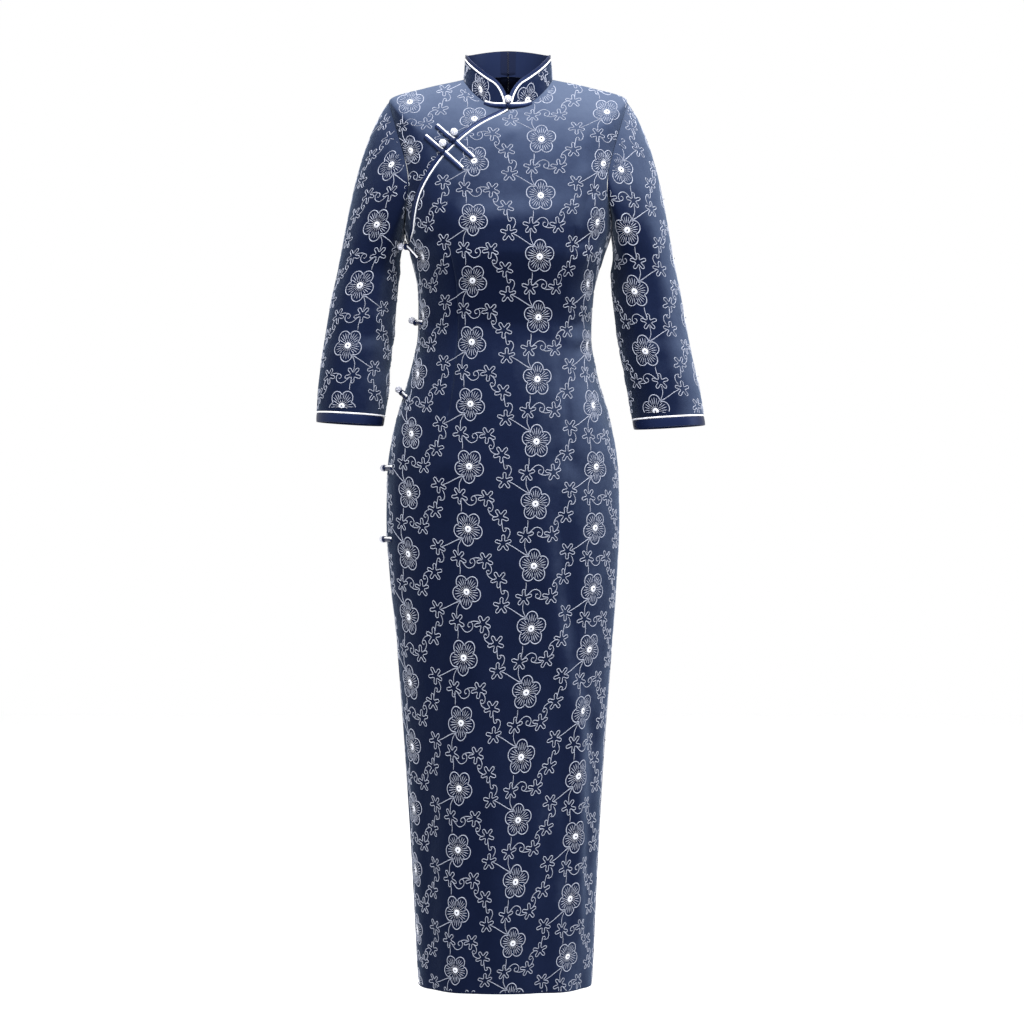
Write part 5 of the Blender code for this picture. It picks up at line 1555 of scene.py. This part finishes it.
def level_net(points, normals):
    """The cloth cut at level heights and laid out on a square net of (height, length along the cut).

    Lengths run from the middle line, negative to one side, and heights from the top down.
    """
    heights, cut = level_cuts(points, normals)
    lines, lows, highs = [], [], []
    for row in cut:
        there = ~np.isnan(row[:, 0])
        places = row[there]
        if len(places) < 4:
            lines.append(None)
            continue
        length = lengths_along(places[:, :2])
        middle = np.argmin(np.abs(places[:, 0]))
        way = 1 if places[-1, 0] > places[0, 0] else -1
        along = way * (length - length[middle]) + places[middle, 0]
        lines.append((there, along))
        lows.append(along.min())
        highs.append(along.max())
    across = np.arange(math.floor(min(lows)), math.ceil(max(highs)), NET_STEP)
    table = np.full((len(heights), len(across), 6), np.nan)
    for i, line in enumerate(lines):
        if line is None:
            continue
        there, along = line
        table[i] = net_row(across, along, cut[i][there])
        gaps = np.diff(np.nonzero(there)[0]) > 1
        for k in np.nonzero(gaps)[0]:
            low, high = sorted((along[k], along[k + 1]))
            table[i, (across > low) & (across < high)] = np.nan
    return SimpleNamespace(top=heights[0], first=across[0], table=table)


def sleeve_net(points, normals, side):
    """As level_net, for a sleeve opened along its underarm; lengths run from its outer line."""
    half = points.shape[1] // 2
    order = np.concatenate((np.arange(half, points.shape[1]), np.arange(0, half + 1)))
    points, normals = points[:, order], normals[:, order]
    outer_line = points.shape[1] - half - 1
    heights, cut = level_cuts(points, normals)
    across = np.arange(-SLEEVE_REACH, SLEEVE_REACH, NET_STEP)
    table = np.full((len(heights), len(across), 6), np.nan)
    way = -1 if side == "left" else 1
    for i, row in enumerate(cut):
        there = ~np.isnan(row[:, 0])
        if there.sum() < 4 or not there[outer_line]:
            continue
        spots = row[there]
        length = lengths_along(spots[:, :2])
        table[i] = net_row(across, way * (length - length[there[:outer_line].sum()]), spots)
    return SimpleNamespace(top=heights[0], first=across[0], table=table)


def on_net(net, along, height, rise):
    """Points of the cloth at lengths and heights, raised by rise; not a number where there is no cloth."""
    i = (net.top - height) / NET_STEP
    j = (along - net.first) / NET_STEP
    rows, columns = net.table.shape[:2]
    outside = (i < 0) | (j < 0) | (i > rows - 1.001) | (j > columns - 1.001)
    i, j = np.clip(i, 0, rows - 1.001), np.clip(j, 0, columns - 1.001)
    low_i, low_j = i.astype(int), j.astype(int)
    part_i, part_j = (i - low_i)[:, None], (j - low_j)[:, None]
    table = net.table
    spot = (
        table[low_i, low_j] * (1 - part_i) * (1 - part_j)
        + table[low_i + 1, low_j] * part_i * (1 - part_j)
        + table[low_i, low_j + 1] * (1 - part_i) * part_j
        + table[low_i + 1, low_j + 1] * part_i * part_j
    )
    spot[outside] = np.nan
    with np.errstate(invalid="ignore"):
        return spot[:, :3] + unit(spot[:, 3:]) * rise[:, None]


def curve_through(places, step=STITCH_STEP, closed=False):
    """A smooth line through the places, cut into steps (Catmull-Rom)."""
    places = np.asarray(places, float)
    if closed:
        ring = np.vstack((places[-1:], places, places[:2]))
    else:
        ring = np.vstack((2 * places[0] - places[1], places, 2 * places[-1] - places[-2]))
    fine = []
    for a, b, c, d in zip(ring[:-3], ring[1:-2], ring[2:-1], ring[3:]):
        t = np.linspace(0, 1, 9)[:-1, None]
        fine.append(b + 0.5 * t * (c - a + t * (2 * a - 5 * b + 4 * c - d + t * (3 * (b - c) + d - a))))
    fine = np.vstack([*fine, ring[-2:-1]])
    length = lengths_along(fine)
    count = max(2, round(length[-1] / step) + 1)
    at = np.linspace(0, length[-1], count)
    return np.stack([np.interp(at, length, fine[:, axis]) for axis in (0, 1)], 1)


class Chart:
    """Flat embroidery: places as (right, down, rise), triangles, and each triangle's thread."""

    def __init__(self):
        self.places, self.faces, self.threads, self.count = [], [], [], 0

    def add(self, places, faces, thread):
        self.places.append(np.asarray(places, float))
        self.faces.append(np.asarray(faces, int) + self.count)
        self.threads.append(np.broadcast_to(thread, len(faces)))
        self.count += len(places)

    def ribbon(self, line, width, thread=PLAIN, rise=STITCH_RISE, taper=(0.55, 0.55)):
        """A rounded band of stitches along a line."""
        line = np.asarray(line, float)
        along = unit(np.gradient(line, axis=0))
        across = np.stack([-along[:, 1], along[:, 0]], 1)
        half = np.full(len(line), width / 2)
        half[0] *= taper[0]
        half[-1] *= taper[1]
        left, right = line - across * half[:, None], line + across * half[:, None]
        flat = np.full(len(line), -STITCH_SUNK)
        top = np.full(len(line), rise)
        strips = ((left, flat), (line, top), (right, flat))
        places = np.vstack([np.column_stack((part, up)) for part, up in strips])
        n, k = len(line), np.arange(len(line) - 1)
        faces = []
        for a in (0, n):
            b = a + n
            faces.append(np.stack([k + a, k + a + 1, k + b], 1))
            faces.append(np.stack([k + a + 1, k + b + 1, k + b], 1))
        self.add(places, np.vstack(faces), thread)

    def button(self, centre, radius, thread, rise, spokes):
        """A small padded disc."""
        turn = np.arange(spokes) * 2 * math.pi / spokes
        ring = np.stack([np.cos(turn), np.sin(turn)], 1)
        outer = np.column_stack((centre + ring * radius, np.full(spokes, -STITCH_SUNK)))
        inner = np.column_stack((centre + ring * radius * BUTTON_TOP, np.full(spokes, rise)))
        middle = np.array([[*centre, rise * BUTTON_CROWN]])
        k, n = np.arange(spokes), (np.arange(spokes) + 1) % spokes
        faces = [np.stack([k, k + spokes, n], 1), np.stack([n, k + spokes, n + spokes], 1)]
        faces.append(np.stack([k + spokes, np.full(spokes, 2 * spokes), n + spokes], 1))
        self.add(np.vstack((outer, inner, middle)), np.vstack(faces), thread)

    def arrays(self):
        return np.vstack(self.places), np.vstack(self.faces), np.concatenate(self.threads)


def star(chart, centre, lean):
    """The outline of a five-armed leaf."""
    places = []
    for arm in range(5):
        way = math.pi / 2 + (arm + lean) * 2 * math.pi / 5
        tip = np.array([math.cos(way), math.sin(way)])
        side = np.array([-math.sin(way), math.cos(way)])
        places += [tip * out + side * beside for out, beside in STAR_ARM]
        notch = way + math.pi / 5
        places.append(STAR_NOTCH * np.array([math.cos(notch), math.sin(notch)]))
    outline = curve_through(places, STAR_STEP, closed=True)
    chart.ribbon(np.asarray(centre) + outline, STAR_WIDTH, taper=(1, 1))


def flower(chart):
    """Five round petals, each with its lines, round a bright heart."""
    shape = np.array(FLOWER_SHAPE)
    for petal in range(5):
        way = math.pi / 2 + petal * 2 * math.pi / 5
        tip = np.array([math.cos(way), math.sin(way)])
        side = np.array([-tip[1], tip[0]])
        turn = np.radians(np.linspace(-PETAL_TURN, PETAL_TURN, 13))
        line = tip * PETAL_OUT + PETAL_RADIUS * (np.cos(turn)[:, None] * tip + np.sin(turn)[:, None] * side)
        chart.ribbon(line * shape, PETAL_WIDTH)
        spread = np.radians(np.linspace(-PETAL_LINE_SPREAD, PETAL_LINE_SPREAD, PETAL_LINES))
        for lean, far in zip(spread, PETAL_LINE_TO):
            ray = np.cos(lean) * tip + np.sin(lean) * side
            places = ray * np.linspace(PETAL_LINE_FROM, far, 4)[:, None]
            chart.ribbon(places * shape, PETAL_LINE_WIDTH, rise=PETAL_LINE_RISE)
    for spoke in range(HEART_SPOKES):
        way = (spoke + 0.5) * 2 * math.pi / HEART_SPOKES
        ray = np.array([math.cos(way), math.sin(way)])
        chart.ribbon(np.array([ray * r for r in HEART_RING]), HEART_SPOKE_WIDTH, BRIGHT, HEART_SPOKE_RISE)
    for radius, thread, rise, spokes in HEART_BUTTONS:
        chart.button(np.zeros(2), radius, thread, rise, spokes)


def repeat():
    """One repeat: a flower with the stems, curls and stars that run down from it."""
    chart = Chart()
    flower(chart)
    for line in STEMS:
        chart.ribbon(curve_through(line), STEM_WIDTH)
    for line in CURLS:
        chart.ribbon(curve_through(line, CURL_STEP), CURL_WIDTH)
    for right, down, lean in STARS:
        star(chart, (right, down), lean)
    return chart.arrays()


REPEAT = repeat()


def cell(right, down, flipped):
    """The repeat moved so that its flower is at (right, down); flipped ones are upside down."""
    places, faces, threads = REPEAT
    turned = places.copy()
    turned[:, :2] *= CHART_SIZE
    if flipped:
        turned[:, 1] *= -1
        faces = faces[:, ::-1]
    turned[:, 0] += right
    turned[:, 1] += down
    return turned, faces, threads


def embroider(name, lay, reach, anchor, mirror=1, keep=None):
    """Raised stitches over a piece of cloth.

    lay(right, down, rise) gives the cloth's points, reach is (left, right, up, down) from the flower,
    and keep(points) says which points may carry stitches.
    """
    left, right, up, down = reach
    charts = Chart()
    for column in range(math.floor(left / COLUMN_PITCH) - 1, math.ceil(right / COLUMN_PITCH) + 2):
        for row in range(math.floor(up / ROW_PITCH) - 2, math.ceil(down / ROW_PITCH) + 2):
            flipped = column % 2 == 1
            q = row * ROW_PITCH + (NEXT_COLUMN_DOWN if flipped else 0)
            p = column * COLUMN_PITCH
            if left - REPEAT_RIGHT < p < right + REPEAT_LEFT and up - REPEAT_TALL < q < down + REPEAT_TALL:
                charts.add(*cell(p, q, flipped))
    places, faces, threads = charts.arrays()
    points = lay(places[:, 0] * mirror + anchor[0], places[:, 1] + anchor[1], places[:, 2])
    good = ~np.isnan(points[:, 0])
    if keep:
        with np.errstate(invalid="ignore"):
            good &= keep(points)
    whole = good[faces].all(1)
    if mirror < 0:
        faces = faces[:, ::-1]
    faces, threads = faces[whole], threads[whole]
    used, fresh = np.unique(faces, return_inverse=True)
    made = make_mesh(name, points[used], fresh.reshape(faces.shape), THREADS, slots=threads, sharp=70)
    return made


def drop_down(around):
    """Heights down the form at one angle, and the length of cloth to each; the shoulders lie above."""
    downs = np.linspace(0, DOWN_HEM, 400)
    line = form(downs, around)
    length = lengths_along(line)
    above = line[0, 2] + SHOULDER_ABOVE
    return np.concatenate(([above], line[:, 2])), np.concatenate(([-SHOULDER_ABOVE * SHOULDER_SLANT], length))


def lay_on(net, heights, lengths):
    """How a chart's places come to lie on a net: across it, and down its length."""
    def lay(right, down, rise):
        return on_net(net, right, np.interp(down, lengths, heights), rise)
    return lay


def place_down(z, heights, lengths):
    """The length of cloth down to a height."""
    return float(np.interp(-z, -heights, lengths))


# ---------------------------------------------------------------- the dress

def body_anchor(flower, around):
    """A flower's place on the chart, with the heights and lengths down the form."""
    heights, lengths = drop_down(around)
    return heights, lengths, (flower[0], place_down(flower[1], heights, lengths))


def body_embroidery(name, grid, around, flower, keep=None):
    """Embroidery over a front panel, whose chart is anchored by an upright flower."""
    heights, lengths, (right, down) = body_anchor(flower, around)
    net = level_net(grid.points, grid.normals)
    along = net.first + np.arange(net.table.shape[1]) * NET_STEP
    creep = np.array(CREEP, float).T
    crept_lengths = np.array([place_down(z, heights, lengths) for z in creep[0]])

    def crept(column, fallen):
        return monotone(crept_lengths, creep[CREEP_COLUMNS.index(column)], fallen)

    def lay(across, fallen, rise):
        aside = across - right
        sideways = crept("sideways", fallen) - aside * crept("narrowing", fallen)
        right_rises = np.maximum(aside, 0) * crept("right_rise", fallen)
        left_rises = np.maximum(-aside, 0) * crept("left_rise", fallen)
        lower = fallen + crept("down", fallen) - (right_rises + left_rises) / COLUMN_PITCH
        return on_net(net, across + sideways, np.interp(lower, lengths, heights), rise)

    reach = (along[0] - right, along[-1] - right, lengths[0] - down - CHART_ABOVE, lengths[-1] - down)
    return embroider(name, lay, reach, (right, down), keep=keep)


def front():
    """The front with its embroidery, its slits' edges and the opening's trim."""
    grid = front_grid()
    panel = shell("front_velvet", grid.points, grid.points - grid.normals * WALL, VELVET_WALL)
    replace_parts(panel, "front_main")
    stitches = body_embroidery("front_embroidery", grid, 90, FRONT_FLOWER)
    declare_cloth(panel, grid.points, [stitches])
    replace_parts(side_trim("slit_edge_front_left", grid, True), "slit_binding_front_left")
    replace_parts(side_trim("slit_edge_front_right", grid, False), "slit_binding_front_right")
    opening_pieces(grid)


def underlap():
    """The underlap, embroidered only where it shows beyond the front."""
    grid = underlap_grid()
    panel = shell("underlap_velvet", grid.points, grid.points - grid.normals * WALL, VELVET_WALL)
    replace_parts(panel, "front_underlap")

    def showing(points):
        beyond = points[:, 0] < opening_across(points[:, 2]) - BAND_FAR
        return beyond & (points[:, 2] > UNDERLAP_SHOWS_TO)

    stitches = body_embroidery("underlap_embroidery", grid, 90, UNDERLAP_FLOWER, showing)
    declare_cloth(panel, grid.points, [stitches])


def back(side):
    """One half of the back with its embroidery and its slit's edge."""
    grid = back_grid(side)
    panel = shell(f"back_velvet_{side}", grid.points, grid.points - grid.normals * WALL, VELVET_WALL)
    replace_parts(panel, f"back_{side}")
    mirrored = SimpleNamespace(points=grid.points * (-1, 1, 1), normals=grid.normals * (-1, 1, 1))
    stitches = back_embroidery(f"back_embroidery_{side}", mirrored)
    declare_cloth(panel, grid.points, [stitches])
    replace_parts(side_trim(f"slit_edge_back_{side}", grid, side == "right"), f"slit_binding_back_{side}")
    return grid


def back_embroidery(name, mirrored):
    """The back is charted as seen from behind, so its net is laid out mirrored and its points turned back."""
    heights, lengths, (right, down) = body_anchor(BACK_FLOWER, 270)
    net = level_net(mirrored.points, mirrored.normals)
    along = net.first + np.arange(net.table.shape[1]) * NET_STEP
    lay = lay_on(net, heights, lengths)

    def turned_back(across, fallen, rise):
        return lay(across, fallen, rise) * (-1, 1, 1)

    reach = (along[0] - right, along[-1] - right, lengths[0] - down - CHART_ABOVE, lengths[-1] - down)
    return embroider(name, turned_back, reach, (right, down))


def sleeves(side):
    """A sleeve with its embroidery."""
    velvet, points, normals = sleeve_pieces(side)
    net = sleeve_net(points, normals, side)
    outer = points[:, 0]
    lengths = lengths_along(outer)
    way = -1 if side == "left" else 1
    creep = np.array(SLEEVE_CREEP[side], float).T

    def lay(across, fallen, rise):
        height = np.interp(fallen, lengths, outer[:, 2])
        return on_net(net, across + way * monotone(-creep[0], creep[1], -height), height, rise)

    flower_across, flower_z = SLEEVE_FLOWERS[side]
    anchor = (flower_across, place_down(flower_z, outer[:, 2], lengths))
    reach = (flower_across - SLEEVE_REACH, flower_across + SLEEVE_REACH, -anchor[1], lengths[-1] - anchor[1])
    stitches = embroider(f"sleeve_embroidery_{side}", lay, reach, anchor, mirror=-1)
    declare_cloth(velvet, np.concatenate((points, points[:, :1]), 1), [stitches])


def collar_embroidery(side):
    """Embroidery on one half of the collar, clear of its edges."""
    way = 1 if side == "left" else -1

    def lay(right, down, rise):
        along = right * way
        height = -down
        outline = collar_line(COLLAR_DENSE)
        top = np.interp(along, outline[:, 0], outline[:, 1])
        inside = (along > 1.0) & (along < COLLAR_LENGTH - 0.6)
        inside &= (height > 0.8) & (height < top - 0.7)
        points = collar_point(along, height, -rise[:, None]) * (way, 1, 1)
        points[~inside] = np.nan
        return points

    flower_along, flower_down = COLLAR_FLOWERS[side]
    reach = (-COLLAR_LENGTH - flower_along, COLLAR_LENGTH - flower_along, -60, 40)
    anchor = (way * flower_along, flower_down)
    return embroider(f"collar_embroidery_{side}", lay, reach, anchor, mirror=way)


def chest_frogs():
    """The two slanting frogs on the opening."""
    slope = math.radians(CHEST_SLOPE)
    along = np.array([math.cos(slope), 0, -math.sin(slope)])
    for number, z in enumerate(CHEST_FROGS, start=1):
        knot_x = float(opening_across(z)) - CHEST_KNOT_OUT

        def place(s, height):
            down, around = find_place(knot_x + along[0] * s, z + along[2] * s)
            return cloth(down, around, height)

        side_up = np.array([math.sin(slope), 0, math.cos(slope)])
        middle = (knot_x, 0, z) + along * CHEST_BEAD["along"] + side_up * CHEST_BEAD["up"]
        centre = cloth(*find_place(middle[0], middle[2]), CHEST_BEAD["out"])[0]
        frog(f"chest_frog_{number}", place, OVER_FRONT, OVER_UNDERLAP, centre)


def side_frogs():
    """The five frogs on the closed side."""
    for number, row in enumerate(named(SIDE_FROG_COLUMNS, SIDE_FROGS), start=1):
        knot_down = down_at(row.z)
        knot_around = opening_around(knot_down)

        def place(s, height):
            slant = math.radians(row.loop_slope if s > 0 else row.knob_slope)
            down = knot_down + s * math.sin(slant)
            return cloth(down, arc_shift(down, knot_around, -s * math.cos(slant)), height)

        bead_around = arc_shift(knot_down, knot_around, -row.bead_along)
        centre = cloth(knot_down - row.bead_up, bead_around, row.bead_out)[0]
        frog(f"side_frog_{number}", place, OVER_FRONT, row.knob_heights, centre, SIDE_KNOT_RADIUS)


def neck_frog():
    """The frog across the collar's two front ends."""
    def place(s, height):
        along = abs(s) - COLLAR_FRONT_GAP
        mirror = np.array([1 if s > 0 else -1, 1, 1], float)
        up = NECK_FROG_HEIGHT - NECK_FROG_DROP * float(smooth(6, LEG_STEPS[-1], abs(s)))
        point = collar_point(along, up, -height) * mirror
        deeper = collar_point(along, up, 1 - height) * mirror
        return point, point - deeper

    centre = collar_point(-COLLAR_FRONT_GAP, NECK_BEAD["up"], -NECK_BEAD["out"])
    frog("neck_frog", place, OVER_COLLAR, OVER_COLLAR, centre)


# ---------------------------------------------------------------- centre-back zip

def zip_line(grid):
    """The inside of the centre back from the collar's top down: its places and the way outward."""
    heights = np.arange(COLLAR_SIDE_HEIGHT + COLLAR_BAND_FAR - 0.6, 1.0, -3.0)
    along = np.full(len(heights), COLLAR_LENGTH - SEAM / 2)
    collar = collar_point(along, heights, COLLAR_WALL + SEAM + SATIN_WALL)
    collar_out = unit(collar_point(along, heights) - collar)
    j = int(np.argmin(np.abs(grid.points[5, :, 0])))
    edge, out = grid.points[:, j], grid.normals[:, j]
    rows = (edge[:, 2] > ZIP_BOTTOM) & (np.arange(len(edge)) > 0)
    body = edge[rows] - out[rows] * (WALL - EDGE_ROLL)
    return np.vstack((collar, body)), np.vstack((collar_out, out[rows]))


def zip_tape(side, line, out):
    """One half of the zip's tape, inside the back."""
    sign = 1 if side == "left" else -1
    shares = np.array(TAPE_ACROSS)
    turn = np.radians(90 - shares / 0.95)
    bend = 1 - np.sin(turn)
    across = np.stack([sign * shares, bend * -10, np.zeros(len(shares))], 1)
    near = line[:, None] * (0, 1, 1) + across - out[:, None] * TAPE_CLEAR
    far = near - out[:, None] * TAPE_WALL
    made = shell(f"zip_tape_woven_{side}", near, far, [TAPE_LOOK])
    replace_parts(made, f"zip_tape_{side}")


def zip_teeth(line, out):
    """Teeth in turn from the left and from the right."""
    length = lengths_along(line)
    at = np.arange(2.0, length[-1] - 1.0, TOOTH_PITCH)
    centre = np.stack([np.interp(at, length, line[:, axis]) for axis in range(3)], 1) * (0, 1, 1)
    inward = -unit(np.stack([np.interp(at, length, out[:, axis]) for axis in range(3)], 1))
    down = unit(np.gradient(centre, axis=0))
    points, faces = [], []
    for number, (place, deeper, onward) in enumerate(zip(centre, inward, down)):
        sign = 1 if number % 2 else -1
        start = len(points)
        for above, taper in TOOTH_LEVELS:
            low = TAPE_CLEAR + TAPE_WALL + above
            for wide, long in TOOTH_CORNERS:
                points.append(place + deeper * low + onward * long * taper + (sign * wide, 0, 0))
        quads = [list(quad) for quad in BOX_FACES]
        if sign > 0:
            quads = [quad[::-1] for quad in quads]
        faces += [[start + k for k in quad] for quad in quads]
    made = make_mesh("zip_teeth", np.array(points), faces, [METAL_LOOK], sharp=20)


def enamel(node_name):
    """The zip's slider and pull keep the CAD's own shape."""
    solid = bpy.data.objects[node_name]
    solid.data.materials.clear()
    solid.data.materials.append(METAL_LOOK)


# ---------------------------------------------------------------- room and camera

def area_light(name, place, target, size, power):
    """A rectangular lamp that looks at its target."""
    lamp = bpy.data.lights.new(name, "AREA")
    lamp.shape = "RECTANGLE"
    lamp.size, lamp.size_y = size
    lamp.energy = power
    made = bpy.data.objects.new(name, lamp)
    made.location = place
    made.rotation_mode = "QUATERNION"
    made.rotation_quaternion = (Vector(target) - Vector(place)).to_track_quat("-Z", "Y")
    bpy.context.collection.objects.link(made)


def room():
    """A plain white room: a white world, a floor and lamps."""
    world = bpy.data.worlds.new("room")
    bpy.context.scene.world = world
    world.use_nodes = True
    sky = world.node_tree.nodes["Background"]
    sky.inputs["Color"].default_value = (1, 1, 1, 1)
    sky.inputs["Strength"].default_value = WORLD_LIGHT
    mesh = bpy.data.meshes.new("floor")
    corners = [(x * FLOOR_HALF, y * FLOOR_HALF, FLOOR_Z) for x, y in ((-1, -1), (1, -1), (1, 1), (-1, 1))]
    mesh.from_pydata(corners, [], [(0, 1, 2, 3)])
    mesh.materials.append(shader_of("floor_look", (0.96, 0.96, 0.96), 0.9)[0])
    floor = bpy.data.objects.new("floor", mesh)
    bpy.context.collection.objects.link(floor)
    for lamp in named(LIGHT_COLUMNS, LIGHTS):
        area_light(**vars(lamp))
    bpy.context.scene.view_settings.view_transform = "Standard"


def camera():
    """A long lens, level, straight in front."""
    lens = bpy.data.cameras.new("camera")
    lens.sensor_width = 36
    lens.lens = CAMERA_LENS
    made = bpy.data.objects.new("camera", lens)
    made.location = CAMERA_PLACE
    made.rotation_euler = (math.pi / 2, 0, 0)
    bpy.context.collection.objects.link(made)
    bpy.context.scene.camera = made


def main():
    """All pieces, then the room."""
    front()
    underlap()
    grids = {side: back(side) for side in ("left", "right")}
    line, out = zip_line(grids["left"])
    for side in ("left", "right"):
        velvet, outer = collar_pieces(side)
        declare_cloth(velvet, outer, [collar_embroidery(side)])
        sleeves(side)
        zip_tape(side, line, out)
    zip_teeth(line, out)
    neck_frog()
    chest_frogs()
    side_frogs()
    for node_name in ("zip_slider", "zip_pull"):
        enamel(node_name)
    room()
    camera()


main()
